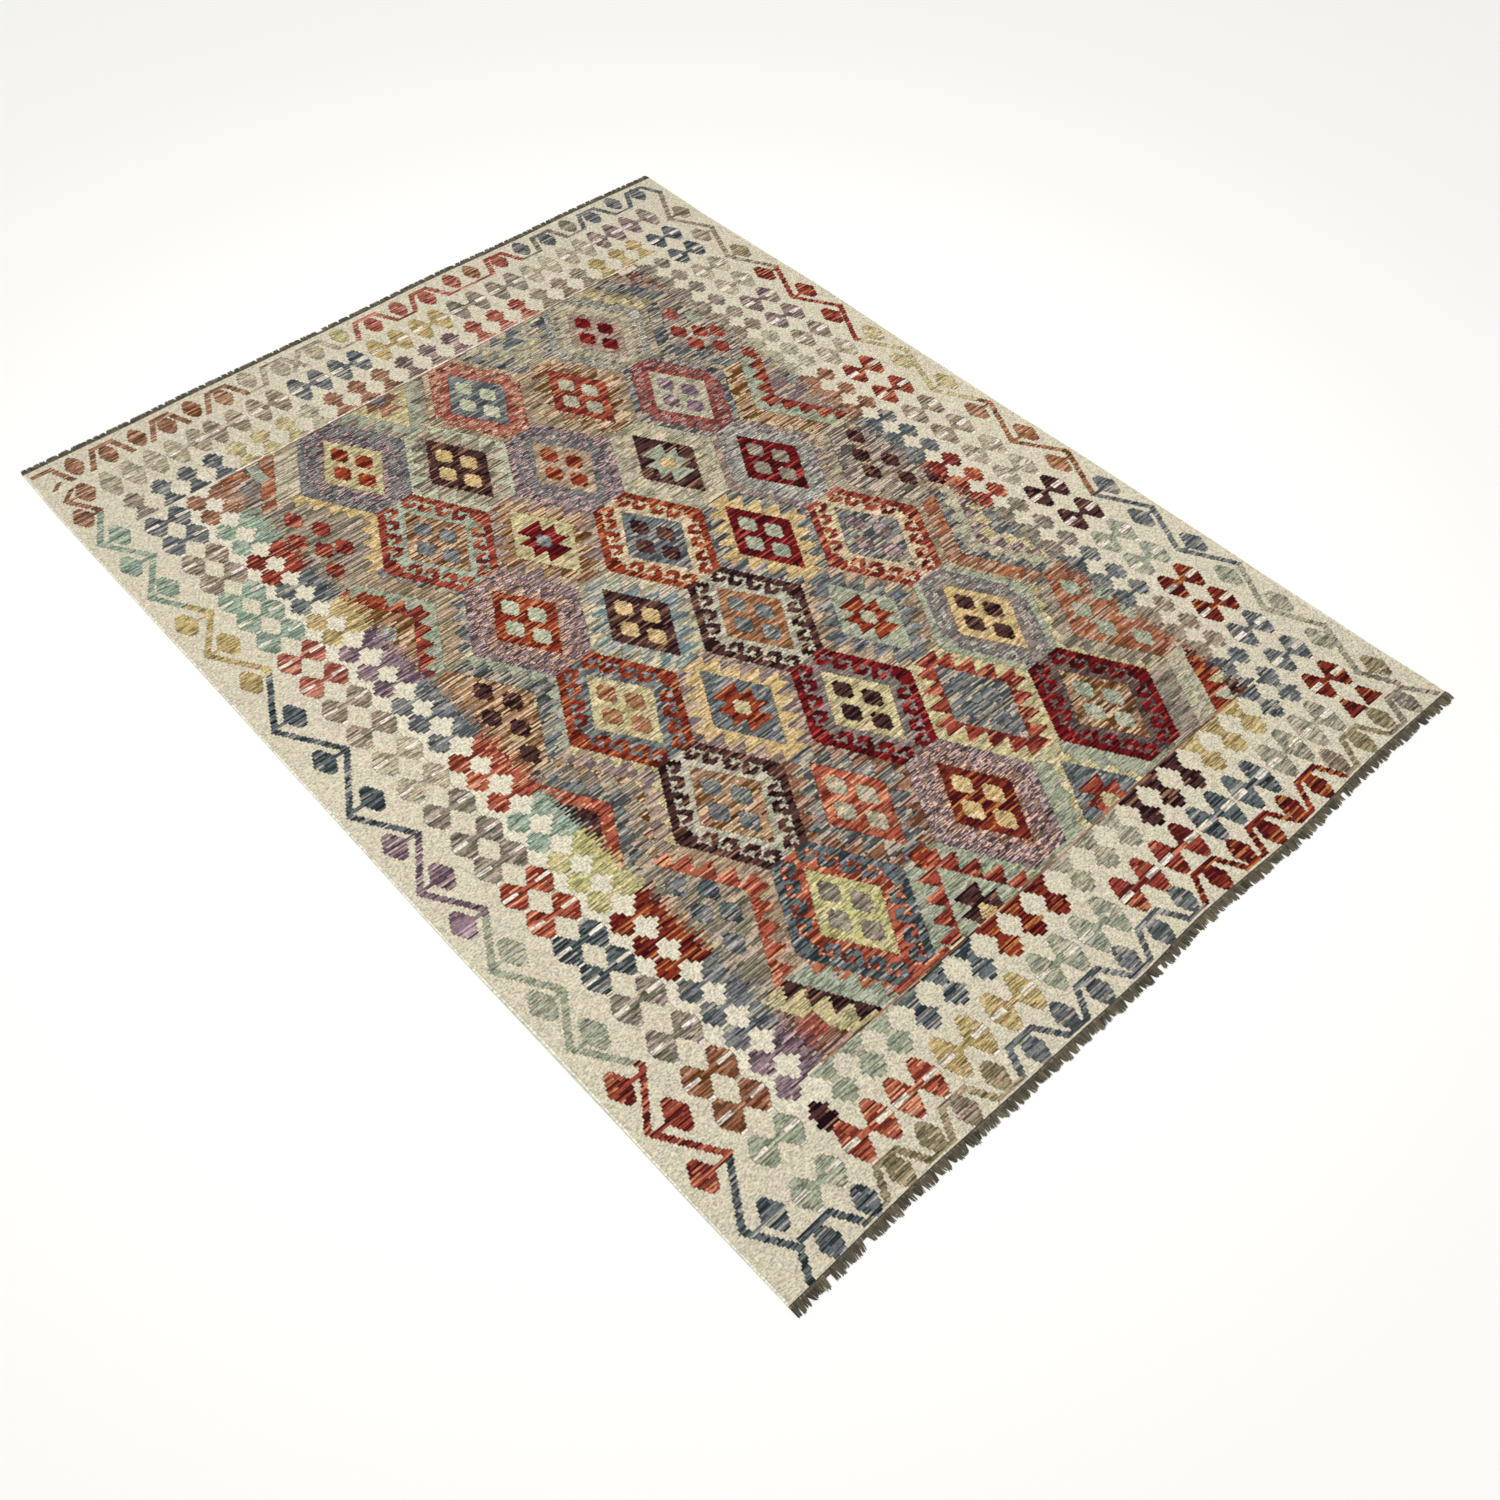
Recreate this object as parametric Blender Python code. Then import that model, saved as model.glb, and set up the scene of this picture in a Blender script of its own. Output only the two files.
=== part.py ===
"""Kilim rug: one flat-woven wool cloth, with its dark warp ends left as a short fringe at both ends.

X runs across the width, with the wefts. Y runs along the length, with the warps. Z is up, and the
rug lies on z = 0. Three pieces: the cloth, and at each end the strip of knotted warp ends whose
locks lie on the floor. All sizes are in metres.
"""

import math
import random

import bmesh
import bpy

# The woven cloth
CLOTH_WIDTH = 2.130
CLOTH_LENGTH = 2.862
CLOTH_THICK = 0.0030
SELVEDGE_THICK = 0.0034
SELVEDGE_LIP = 0.0018
SELVEDGE_WIDTH = 0.009
SELVEDGE_CREST_SHARE = 0.35
END_THICK = 0.0024
COLUMNS_ACROSS = 22
ROWS_ALONG = 44

# The slight lift and fall of the hand-woven face
COCKLE_HEIGHT = 0.00025
COCKLES = (
    # strength, radians per metre across, radians per metre along, phase
    (0.28, 5.1, 3.7, 1.3),
    (0.22, 11.3, -7.9, 0.0),
)

# The warp ends: a knotted strip beside the cloth, and the cut locks that stand out of it
FAR_REACH = 0.022
NEAR_REACH = 0.030
PARTING_GAP = 0.0003
STRIP_THICK = 0.0028
STRIP_INNER_THICK = 0.0021
FRINGES = (
    # name, side (+1 far, -1 near), reach, strip width, locks, shortest share, missing locks, seed
    ("far_fringe", 1, FAR_REACH, 0.0110, 120, 0.45, (51,), 11),
    ("near_fringe", -1, NEAR_REACH, 0.0100, 176, 0.35, (7, 15, 85, 139), 29),
)
LOCK_ROOT_SHARE = 0.80
LOCK_TIP_SHARE = 0.26
LOCK_TIP_THICK = 0.0012
LOCK_TAPER_POWER = 1.4
LOCK_LEAN = 0.0035
LOCK_LEAN_POWER = 1.5
LOCK_SEGMENTS = 2
ORDINARY_LOCK_MOST = 0.95

# Every so many locks one has the full length, counted so that one stands where each end stands out most
LONGEST_EVERY = 13
LONGEST_PHASE = 9

# Undyed and mixed wool: linear colour and roughness
CLOTH_COLOUR = (0.55, 0.47, 0.38)
CLOTH_ROUGHNESS = 0.92
WARP_COLOUR = (0.105, 0.095, 0.080)
WARP_ROUGHNESS = 0.95

# How far each edge stands in from the straight line that touches it
# columns: share of the edge's run, inset
LEFT_INSET = ((0.00, 0.0160), (0.08, 0.0095), (0.30, 0.0085), (0.48, 0.0038),
              (0.66, 0.0000), (0.78, 0.0055), (0.90, 0.0035), (1.00, 0.0060))
RIGHT_INSET = ((0.00, 0.0080), (0.12, 0.0115), (0.27, 0.0000), (0.45, 0.0075),
               (0.62, 0.0012), (0.76, 0.0030), (0.88, 0.0110), (1.00, 0.0050))
FAR_INSET = ((0.00, 0.0135), (0.14, 0.0125), (0.24, 0.0080), (0.42, 0.0085),
             (0.62, 0.0000), (0.74, 0.0040), (0.85, 0.0010), (1.00, 0.0075))
NEAR_INSET = ((0.00, 0.0010), (0.16, 0.0090), (0.32, 0.0050), (0.46, 0.0020),
              (0.56, 0.0105), (0.72, 0.0000), (0.86, 0.0085), (1.00, 0.0030))

TOTAL_LENGTH = CLOTH_LENGTH + FAR_REACH + NEAR_REACH + 2 * PARTING_GAP
CLOTH_FAR_Y = TOTAL_LENGTH / 2 - FAR_REACH - PARTING_GAP
CLOTH_NEAR_Y = CLOTH_FAR_Y - CLOTH_LENGTH


def clear_scene():
    for thing in list(bpy.data.objects):
        bpy.data.objects.remove(thing, do_unlink=True)


def read_table(table, share):
    """A smooth value between the rows of a table of shares and values."""
    for (left, low), (right, high) in zip(table, table[1:]):
        if share <= right:
            part = (share - left) / (right - left)
            ease = part * part * (3 - 2 * part)
            return low + (high - low) * ease
    return table[-1][1]


def cloth_point(across, along):
    """The place on the cloth at shares 0..1 from the left edge and from the far end."""
    left = -CLOTH_WIDTH / 2 + read_table(LEFT_INSET, along)
    right = CLOTH_WIDTH / 2 - read_table(RIGHT_INSET, along)
    far = CLOTH_FAR_Y - read_table(FAR_INSET, across)
    near = CLOTH_NEAR_Y + read_table(NEAR_INSET, across)
    return left + (right - left) * across, far + (near - far) * along


def cockle(x, y):
    """How low the face lies at a place, from 0 to 1, as the sum of two long ripples."""
    ripples = sum(strength * math.sin(across * x + along * y + phase)
                  for strength, across, along, phase in COCKLES)
    return 0.5 + ripples


def shares_across():
    """Shares of the width: even columns between the close rows that round each selvedge."""
    bead = SELVEDGE_WIDTH / CLOTH_WIDTH
    inner = [bead + (1 - 2 * bead) * i / COLUMNS_ACROSS for i in range(COLUMNS_ACROSS + 1)]
    crest = bead * SELVEDGE_CREST_SHARE
    return [0.0, crest] + inner + [1 - crest, 1.0]


def shares_along():
    """Shares of the length, with one close row where each end thins to its last wefts."""
    end = SELVEDGE_WIDTH / CLOTH_LENGTH
    inner = [end + (1 - 2 * end) * i / ROWS_ALONG for i in range(ROWS_ALONG + 1)]
    return [0.0] + inner + [1.0]


def top_height(column, row, last_column, last_row, x, y):
    if column in (0, last_column):
        return SELVEDGE_LIP
    if row in (0, last_row):
        return END_THICK
    if column in (1, last_column - 1):
        return SELVEDGE_THICK
    return CLOTH_THICK - COCKLE_HEIGHT * cockle(x, y)


def finish_object(name, mesh_data, material):
    mesh = bpy.data.meshes.new(name)
    bmesh.ops.recalc_face_normals(mesh_data, faces=mesh_data.faces[:])
    mesh_data.to_mesh(mesh)
    mesh_data.free()
    mesh.materials.append(material)
    piece = bpy.data.objects.new(name, mesh)
    bpy.context.scene.collection.objects.link(piece)
    return piece


def wool_material(name, colour, roughness):
    """Matt wool: a plain Principled material."""
    material = bpy.data.materials.new(name)
    material.use_nodes = True
    shader = material.node_tree.nodes["Principled BSDF"]
    shader.inputs["Base Color"].default_value = (*colour, 1.0)
    shader.inputs["Roughness"].default_value = roughness
    shader.inputs["Metallic"].default_value = 0.0
    return material


def build_cloth():
    """One closed slab: flat below, gently cockled above, with thicker corded selvedges."""
    body = bmesh.new()
    across = shares_across()
    along = shares_along()
    last_column = len(across) - 1
    last_row = len(along) - 1
    top = []
    bottom = []
    for row, t in enumerate(along):
        points = [cloth_point(s, t) for s in across]
        heights = [top_height(c, row, last_column, last_row, x, y) for c, (x, y) in enumerate(points)]
        top.append([body.verts.new((x, y, z)) for (x, y), z in zip(points, heights)])
        bottom.append([body.verts.new((x, y, 0.0)) for x, y in points])
    for layer in (top, bottom):
        for upper, lower in zip(layer, layer[1:]):
            for c in range(last_column):
                body.faces.new((upper[c], upper[c + 1], lower[c + 1], lower[c]))
    rims = (
        (top[0], bottom[0]),
        (top[-1], bottom[-1]),
        ([line[0] for line in top], [line[0] for line in bottom]),
        ([line[-1] for line in top], [line[-1] for line in bottom]),
    )
    for high, low in rims:
        for i in range(len(high) - 1):
            body.faces.new((high[i], high[i + 1], low[i + 1], low[i]))
    wool = wool_material("kilim_wool", CLOTH_COLOUR, CLOTH_ROUGHNESS)
    return finish_object("kilim_cloth", body, wool)


def end_edge(across, side):
    """A point on the straight runs that make the cloth's far (+1) or near (-1) end edge."""
    along = 0.0 if side > 0 else 1.0
    shares = shares_across()
    for left, right in zip(shares, shares[1:]):
        if across <= right:
            part = (across - left) / (right - left)
            x0, y0 = cloth_point(left, along)
            x1, y1 = cloth_point(right, along)
            return x0 + (x1 - x0) * part, y0 + (y1 - y0) * part
    return cloth_point(1.0, along)


def section(body, middle_x, y, half_width, thick):
    """Four corners of a lock's cross section, flat on the floor: two low, two high."""
    corners = ((-half_width, 0.0), (half_width, 0.0), (half_width, thick), (-half_width, thick))
    return [body.verts.new((middle_x + dx, y, z)) for dx, z in corners]


def bridge(body, first, second):
    for i in range(4):
        j = (i + 1) % 4
        body.faces.new((first[i], first[j], second[j], second[i]))


def add_lock(body, root, side, length, lean):
    """A tapered lock that grows out of the strip's wall between the four root corners."""
    left = root[0].co.x
    right = root[1].co.x
    start_y = (root[0].co.y + root[1].co.y) / 2
    half = (right - left) / 2
    ring = root
    for step in range(1, LOCK_SEGMENTS + 1):
        share = step / LOCK_SEGMENTS
        width = half * (1 - (1 - LOCK_TIP_SHARE) * share ** LOCK_TAPER_POWER)
        thick = STRIP_THICK + (LOCK_TIP_THICK - STRIP_THICK) * share
        middle = (left + right) / 2 + lean * share ** LOCK_LEAN_POWER
        following = section(body, middle, start_y + side * length * share, width, thick)
        bridge(body, ring, following)
        ring = following
    body.faces.new(ring)


def strip_walls(body, side, strip_width, stations):
    """Pairs of low and high points along the strip's wall by the cloth and along its outer wall."""
    inner = []
    outer = []
    for share in stations:
        x, edge_y = end_edge(share, side)
        inner_y = edge_y + side * PARTING_GAP
        outer_y = inner_y + side * strip_width
        inner.append([body.verts.new((x, inner_y, z)) for z in (0.0, STRIP_INNER_THICK)])
        outer.append([body.verts.new((x, outer_y, z)) for z in (0.0, STRIP_THICK)])
    return inner, outer


def lock_share(lock, shortest, rng):
    """A lock's length as a share of the longest: uneven, with a full one now and then."""
    share = rng.uniform(shortest, ORDINARY_LOCK_MOST)
    return 1.0 if lock % LONGEST_EVERY == LONGEST_PHASE else share


def build_fringe(name, side, reach, strip_width, locks, shortest, missing, seed):
    """A strip beside the cloth's end edge, with locks standing apart along its outer wall."""
    rng = random.Random(seed)
    body = bmesh.new()
    pitch = 1.0 / locks
    gap = pitch * (1 - LOCK_ROOT_SHARE) / 2
    stations = [0.0]
    for lock in range(locks):
        stations += [lock * pitch + gap, (lock + 1) * pitch - gap]
    stations.append(1.0)
    inner, outer = strip_walls(body, side, strip_width, stations)
    for i in range(len(stations) - 1):
        j = i + 1
        wall = (outer[i][0], outer[j][0], outer[j][1], outer[i][1])
        body.faces.new((inner[i][0], inner[j][0], inner[j][1], inner[i][1]))
        body.faces.new((inner[i][0], inner[j][0], outer[j][0], outer[i][0]))
        body.faces.new((inner[i][1], inner[j][1], outer[j][1], outer[i][1]))
        lock = i // 2
        between_locks = i % 2 == 0
        if between_locks or lock in missing:
            body.faces.new(wall)
            continue
        share = lock_share(lock, shortest, rng)
        lean = rng.uniform(-LOCK_LEAN, LOCK_LEAN) * share
        add_lock(body, wall, side, (reach - strip_width) * share, lean)
    for i in (0, len(stations) - 1):
        body.faces.new((inner[i][0], inner[i][1], outer[i][1], outer[i][0]))
    wool = wool_material(name + "_wool", WARP_COLOUR, WARP_ROUGHNESS)
    return finish_object(name, body, wool)


def build_rug():
    clear_scene()
    build_cloth()
    for row in FRINGES:
        build_fringe(*row)


build_rug()
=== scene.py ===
# %% [markdown]
# # A flat-woven kilim rug
#
# This script dresses the plain solids of a kilim rug so that it looks like the real one. A kilim
# has no pile: coloured wool wefts run back and forth across undyed wool warps and are beaten down
# until they hide them. Every patch of colour is its own little piece of weaving, so every motif has
# stepped edges. The script follows the weaver: first the yarns, then the chart of the pattern, then
# the woven cloth, and last the warp ends that are tied off as a fringe.

# %% The frame
import math
import random

import bpy
import numpy as np
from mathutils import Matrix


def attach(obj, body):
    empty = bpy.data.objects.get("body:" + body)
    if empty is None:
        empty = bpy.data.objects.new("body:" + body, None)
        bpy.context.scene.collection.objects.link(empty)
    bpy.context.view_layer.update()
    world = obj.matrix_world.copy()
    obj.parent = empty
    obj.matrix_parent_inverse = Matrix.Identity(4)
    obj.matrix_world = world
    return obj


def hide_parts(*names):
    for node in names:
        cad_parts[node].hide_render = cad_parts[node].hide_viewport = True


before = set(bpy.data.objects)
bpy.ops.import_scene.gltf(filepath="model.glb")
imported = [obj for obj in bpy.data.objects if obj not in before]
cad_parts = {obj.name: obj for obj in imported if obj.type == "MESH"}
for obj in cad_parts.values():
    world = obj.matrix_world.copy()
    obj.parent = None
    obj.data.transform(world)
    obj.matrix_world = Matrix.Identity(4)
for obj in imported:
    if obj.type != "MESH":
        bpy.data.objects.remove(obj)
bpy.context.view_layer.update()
print("solids in the frame:", sorted(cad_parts))

# %% [markdown]
# ## Sizes
#
# All lengths are in metres, in the frame of the solids: X across the width, Y along the length, Z
# up. The cloth's sizes and the way its edges wander are the same named values as in the solids'
# source. A weaver counts warps and weft passes, so the chart below counts in them too: a column is
# one warp, and a row is the smallest step of the pattern, about three weft passes.

# %% Sizes of the cloth and of its weave
CLOTH_WIDTH = 2.130
CLOTH_LENGTH = 2.862
CLOTH_THICK = 0.0030
# the selvedge's cord: its thickest, its shoulder one warp in, and its outermost lip
SELVEDGE_THICK = 0.0034
SELVEDGE_SHOULDER = 0.0031
SELVEDGE_LIP = 0.0018
END_THICK = 0.0024
# the slight lift and fall of the hand-woven face
COCKLE_HEIGHT = 0.00025
COCKLES = (
    # strength, radians per metre across, radians per metre along, phase
    (0.28, 5.1, 3.7, 1.3),
    (0.22, 11.3, -7.9, 0.0),
)
FAR_REACH = 0.022
NEAR_REACH = 0.030
PARTING_GAP = 0.0003

# How far each edge stands in from the straight line that touches it (share of the run, inset)
LEFT_INSET = ((0.00, 0.0160), (0.08, 0.0095), (0.30, 0.0085), (0.48, 0.0038),
              (0.66, 0.0000), (0.78, 0.0055), (0.90, 0.0035), (1.00, 0.0060))
RIGHT_INSET = ((0.00, 0.0080), (0.12, 0.0115), (0.27, 0.0000), (0.45, 0.0075),
               (0.62, 0.0012), (0.76, 0.0030), (0.88, 0.0110), (1.00, 0.0050))
FAR_INSET = ((0.00, 0.0135), (0.14, 0.0125), (0.24, 0.0080), (0.42, 0.0085),
             (0.62, 0.0000), (0.74, 0.0040), (0.85, 0.0010), (1.00, 0.0075))
NEAR_INSET = ((0.00, 0.0010), (0.16, 0.0090), (0.32, 0.0050), (0.46, 0.0020),
              (0.56, 0.0105), (0.72, 0.0000), (0.86, 0.0085), (1.00, 0.0030))

TOTAL_LENGTH = CLOTH_LENGTH + FAR_REACH + NEAR_REACH + 2 * PARTING_GAP
CLOTH_FAR_Y = TOTAL_LENGTH / 2 - FAR_REACH - PARTING_GAP
CLOTH_NEAR_Y = CLOTH_FAR_Y - CLOTH_LENGTH

# The weave: a column is one warp, and a step of the pattern is two warps wide and one row tall.
# Places on the rug are counted in steps, and the left edge is at LEFT_STEP.
COLUMNS = 896
ROWS = 600
WARPS_PER_STEP = 2
WARP_PITCH = CLOTH_WIDTH / COLUMNS
LEFT_STEP = -4.8
RIGHT_STEP = LEFT_STEP + COLUMNS / WARPS_PER_STEP
print(f"one warp {WARP_PITCH * 1000:.2f} mm, one row {CLOTH_LENGTH / ROWS * 1000:.2f} mm")

# %% [markdown]
# ## The yarns
#
# Each yarn is hand-spun and pot-dyed, so one hank is never one colour. A row of the table names a
# hank and gives its main shade, two more shades that turn up in it, how often each of those does,
# how long a dash of one shade runs along the weft, and how far the shades lie in broad clouds
# instead of thin streaks. Plain motifs have close shades. The streaky hanks fill the ground of the
# field, and the speckled ones, spun from two colours, fill the mottled rings.

# %% The table of yarns
YARNS = {
    # name: main, second, third shade; share of second and of third; dash in metres; cloud share
    "cream":     ("E4DAC0", "E0D3BD", "DFDABE", 0.34, 0.30, 0.036, 0.75),
    "milk":      ("ECE3CA", "E8DCC8", "E7E1C7", 0.34, 0.30, 0.036, 0.75),
    "selvedge":  ("FFFAE2", "FAF2D6", "FFFDEA", 0.30, 0.20, 0.040, 0.75),
    "slit":      ("E8DCCA", "DBCAB6", "EEE6D8", 0.25, 0.25, 0.050, 0.10),
    "celadon":   ("A6A992", "90947D", "BABAA1", 0.28, 0.25, 0.070, 0.15),
    "sage":      ("BAB298", "A39B82", "C9C2A7", 0.30, 0.25, 0.070, 0.20),
    "pistachio": ("C0C0A4", "ADAD90", "CFCFB6", 0.28, 0.22, 0.070, 0.20),
    "stone":     ("ABA58F", "908A77", "C1BBA3", 0.32, 0.22, 0.060, 0.10),
    "greige":    ("B9AE94", "9E927B", "CBC1A7", 0.32, 0.24, 0.060, 0.15),
    "slate":     ("797C7B", "505355", "A6A599", 0.34, 0.20, 0.060, 0.05),
    "navy":      ("656D6E", "32393B", "A4A59D", 0.34, 0.16, 0.060, 0.05),
    "aubergine": ("4F322F", "1F070C", "8C6A54", 0.32, 0.16, 0.060, 0.05),
    "crimson":   ("701116", "370004", "A9473E", 0.30, 0.16, 0.070, 0.05),
    "oxide":     ("802F20", "4C0C11", "B27440", 0.34, 0.20, 0.060, 0.05),
    "red":       ("984335", "601E1A", "C2805D", 0.34, 0.20, 0.060, 0.05),
    "madder":    ("964E47", "6C3432", "B47263", 0.34, 0.20, 0.030, 0.05),
    "rose":      ("AD6454", "824036", "CB957F", 0.34, 0.20, 0.060, 0.05),
    "rust":      ("933D25", "5D1A0D", "BE7C51", 0.34, 0.20, 0.060, 0.05),
    "clay":      ("956449", "6E3E25", "B79374", 0.34, 0.20, 0.060, 0.05),
    "brick":     ("A0755C", "78523C", "C3A084", 0.34, 0.20, 0.060, 0.05),
    "coral":     ("AD5C45", "7A2F20", "D99E7B", 0.32, 0.22, 0.060, 0.05),
    "ochre":     ("A07251", "784A29", "C49A77", 0.34, 0.22, 0.060, 0.05),
    "mustard":   ("C2AB76", "AA925E", "D2BF90", 0.30, 0.24, 0.060, 0.10),
    "apricot":   ("D1B481", "BC9D68", "DFC99C", 0.30, 0.24, 0.060, 0.15),
    "straw":     ("C9BB8E", "B4A376", "D8CCA6", 0.30, 0.24, 0.060, 0.15),
    "citron":    ("C7BE86", "AEA46E", "D7D0A0", 0.30, 0.24, 0.060, 0.15),
    "fawn":      ("B0977D", "947B63", "C6B399", 0.34, 0.24, 0.060, 0.10),
    "blush":     ("A89280", "8B7364", "C0AB94", 0.32, 0.24, 0.060, 0.15),
    "olive":     ("A09172", "847558", "BAAD8E", 0.34, 0.22, 0.060, 0.10),
    "taupe":     ("A2917D", "857460", "BDAF9A", 0.34, 0.22, 0.060, 0.05),
    "umber":     ("958A7A", "766B5C", "B1A695", 0.34, 0.22, 0.060, 0.05),
    "lilac":     ("9B887F", "705758", "BEADA1", 0.34, 0.22, 0.050, 0.05),
    "purple":    ("8F787E", "614B54", "BCAAA6", 0.34, 0.20, 0.050, 0.05),
    "teal":      ("9AAB97", "7F8F7C", "B3BFA9", 0.30, 0.24, 0.060, 0.10),
    # the streaky grounds of the field
    "grey_streak":  ("988A7D", "5F544A", "C3B8A3", 0.30, 0.30, 0.060, 0.00),
    "khaki_streak": ("9C8F7A", "766B5C", "BAAB94", 0.30, 0.32, 0.060, 0.00),
    "ochre_streak": ("A27E60", "6A431E", "CFB896", 0.32, 0.30, 0.060, 0.00),
    "rust_streak":  ("936750", "663C25", "AE9C8A", 0.32, 0.28, 0.060, 0.00),
    "sage_streak":  ("BEB397", "998C74", "D0C6AA", 0.34, 0.24, 0.060, 0.00),
    "blue_streak":  ("7D7F7D", "4B4C4C", "B6AD95", 0.34, 0.28, 0.050, 0.00),
    "mist_streak":  ("8F9893", "6F7E82", "BBB9A2", 0.32, 0.30, 0.050, 0.00),
    "lilac_streak": ("9C8779", "746065", "BDAA91", 0.32, 0.32, 0.060, 0.00),
    "beige_streak": ("AB9479", "877159", "C5B397", 0.32, 0.30, 0.060, 0.00),
    "coral_streak": ("AE7050", "885035", "B6A994", 0.34, 0.20, 0.060, 0.00),
    # the speckled yarns of the mottled rings
    "dusk_speckle":   ("7A7B79", "555553", "A39F99", 0.36, 0.24, 0.020, 0.00),
    "purple_speckle": ("917B79", "574349", "C5B1A9", 0.36, 0.26, 0.018, 0.00),
    "rose_speckle":   ("BA8C72", "8E604C", "DEB79A", 0.34, 0.26, 0.018, 0.00),
    "fawn_speckle":   ("A0806D", "674B43", "D7B9A4", 0.32, 0.30, 0.018, 0.00),
    "sage_speckle":   ("9F9D91", "77746C", "C4C0B2", 0.32, 0.28, 0.018, 0.00),
    "clay_speckle":   ("906A60", "644240", "B89A90", 0.34, 0.26, 0.018, 0.00),
    # small marks, and the grounds of the hooks
    "mauve":     ("6B5851", "4E3D3B", "8A776D", 0.34, 0.22, 0.050, 0.05),
    "mint":      ("A6AC95", "BCBAA7", "929C85", 0.30, 0.26, 0.050, 0.10),
    "moss":      ("696860", "51524E", "8B887B", 0.30, 0.20, 0.020, 0.00),
    "plum":      ("7D7170", "635958", "9D9394", 0.30, 0.20, 0.020, 0.00),
    "pearl":     ("BEB8A2", "A8A18B", "CCC7B3", 0.30, 0.26, 0.050, 0.10),
    "sand":      ("D0BB98", "BDA57F", "DBCAAE", 0.30, 0.26, 0.060, 0.10),
    "haze":      ("8B7F77", "6F645F", "A2978D", 0.32, 0.24, 0.050, 0.05),
}
YARN_NAMES = list(YARNS)
print(len(YARNS), "yarns on the shelf")


# %% [markdown]
# ## Where a row of weaving lies
#
# A hand loom doesn't keep its rows straight: on this rug they climb a little from left to right
# near the far end, and the rows of one part are beaten closer than those of another. A short table
# gives how far down the cloth a few rows lie at seven stations across it, counted in steps. One
# function reads it forwards, from a row to its place, and one backwards, from a place to its row,
# so that a motif can be given by its place on the rug.

# %% The lie of the rows
STATIONS = (-4.8, 75.0, 135.0, 221.0, 309.0, 375.0, 443.2)
LIE = (
    # row, then its distance from the far end at each station
    (0, 1.7, 1.7, 1.7, 1.7, 1.7, 1.7, 1.7),
    (74, 77.5, 77.0, 75.6, 73.6, 71.8, 70.7, 70.2),
    (112, 116.0, 116.0, 115.0, 113.0, 109.5, 107.5, 107.0),
    (188, 193.5, 193.5, 192.5, 190.3, 185.3, 183.5, 183.0),
    (264, 269.0, 269.0, 268.0, 266.3, 261.3, 260.0, 259.5),
    (340, 345.0, 345.0, 344.0, 341.5, 340.0, 338.0, 338.0),
    (416, 420.0, 420.0, 419.5, 418.2, 418.0, 417.5, 417.0),
    (492, 498.0, 498.0, 497.3, 496.0, 496.0, 494.5, 494.0),
    (534, 541.0, 541.0, 540.7, 540.0, 536.2, 535.8, 535.5),
    (600, 603.4, 603.4, 603.4, 603.4, 603.4, 603.4, 603.4),
)
KNOWN_ROWS = [line[0] for line in LIE]
KNOWN_PLACES = np.array([line[1:] for line in LIE])


def row_at(x, y):
    """The row of weaving that passes a place given in steps."""
    places = [np.interp(x, STATIONS, line) for line in KNOWN_PLACES]
    return float(np.interp(y, places, KNOWN_ROWS))


def place_of(x, row):
    """How far down the cloth rows lie at the steps x across it, for arrays of both."""
    lines = np.array([np.interp(row, KNOWN_ROWS, station) for station in KNOWN_PLACES.T])
    left = np.clip(np.searchsorted(STATIONS, x, side="right") - 1, 0, len(STATIONS) - 2)
    edges = np.array(STATIONS)
    part = (x - edges[left]) / (edges[left + 1] - edges[left])
    every = np.arange(len(x))
    return lines[left, every] * (1 - part) + lines[left + 1, every] * part


print(f"the place (309, 185.3) is on row {row_at(309, 185.3):.0f}")

# %% [markdown]
# ## Charting the pattern
#
# A tapestry weaver works from a chart: so many warps of this yarn, then so many of that one. The
# chart here is a grid of yarn numbers that starts as plain cream, and each motif is a small rule
# that lays runs of one yarn into its rows. The building block is a stack of runs, given by half
# widths around a middle line. No picture is read anywhere: each motif is charted from a few
# counted widths, and tables say where it stands and in which yarn.

# %% The empty chart, and how a run of yarn goes into it
chart = np.full((ROWS, COLUMNS), YARN_NAMES.index("cream"), dtype=np.int16)


def lay(row, left, right, yarn):
    """One row's run of a yarn, from step left to step right."""
    row = int(round(row))
    if 0 <= row < ROWS:
        first = max(0, round((left - LEFT_STEP) * WARPS_PER_STEP))
        last = min(COLUMNS, round((right - LEFT_STEP) * WARPS_PER_STEP))
        if last > first:
            chart[row, first:last] = YARN_NAMES.index(yarn)


def lay_stack(x, top_row, halves, yarn):
    """Runs under each other, each with its half width, around the line x."""
    for i, half in enumerate(halves):
        lay(top_row + i, x - half, x + half, yarn)


def lay_around(x, row, halves, yarn):
    """The same half widths above and below a middle row, listed from the middle outwards."""
    lay_stack(x, round(row) - len(halves) + 1, halves[:0:-1] + halves, yarn)


def taper(middle, tip, count, plump=1.0):
    """Half widths that shrink from the middle row to the tip, in whole steps as on a loom."""
    return [middle - round((middle - tip) * (i / (count - 1)) ** plump) for i in range(count)]


def lay_block(left, right, top, bottom, yarn):
    for row in range(round(top), round(bottom)):
        lay(row, left, right, yarn)


print("an empty chart of", chart.shape, "cells")


# %% [markdown]
# ## Motifs of the field
#
# The field has two shapes. Tall six-sided medallions stand above each other in three columns, each
# a ring with running hooks around a diamond core of four buds. Narrow diamonds sit in the gaps
# between the columns, and saw teeth spread from their edges. All slanting edges climb at nearly the
# same pace, a bit over half a step each row, which is what keeps the slits of a tapestry short.

# %% Slopes and small motifs
HEXAGON_HALF = 33.5
HEXAGON_TOP_HALF = 11.5
HALF_PITCH = 38
SLOPE = (HEXAGON_HALF - HEXAGON_TOP_HALF) / HALF_PITCH
NARROW_HALF = 18.5
NARROW_REACH = 31
FIELD_BUD = [4.8, 4.8, 3.8, 3.8, 2.8, 1.8, 1.8]
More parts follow.
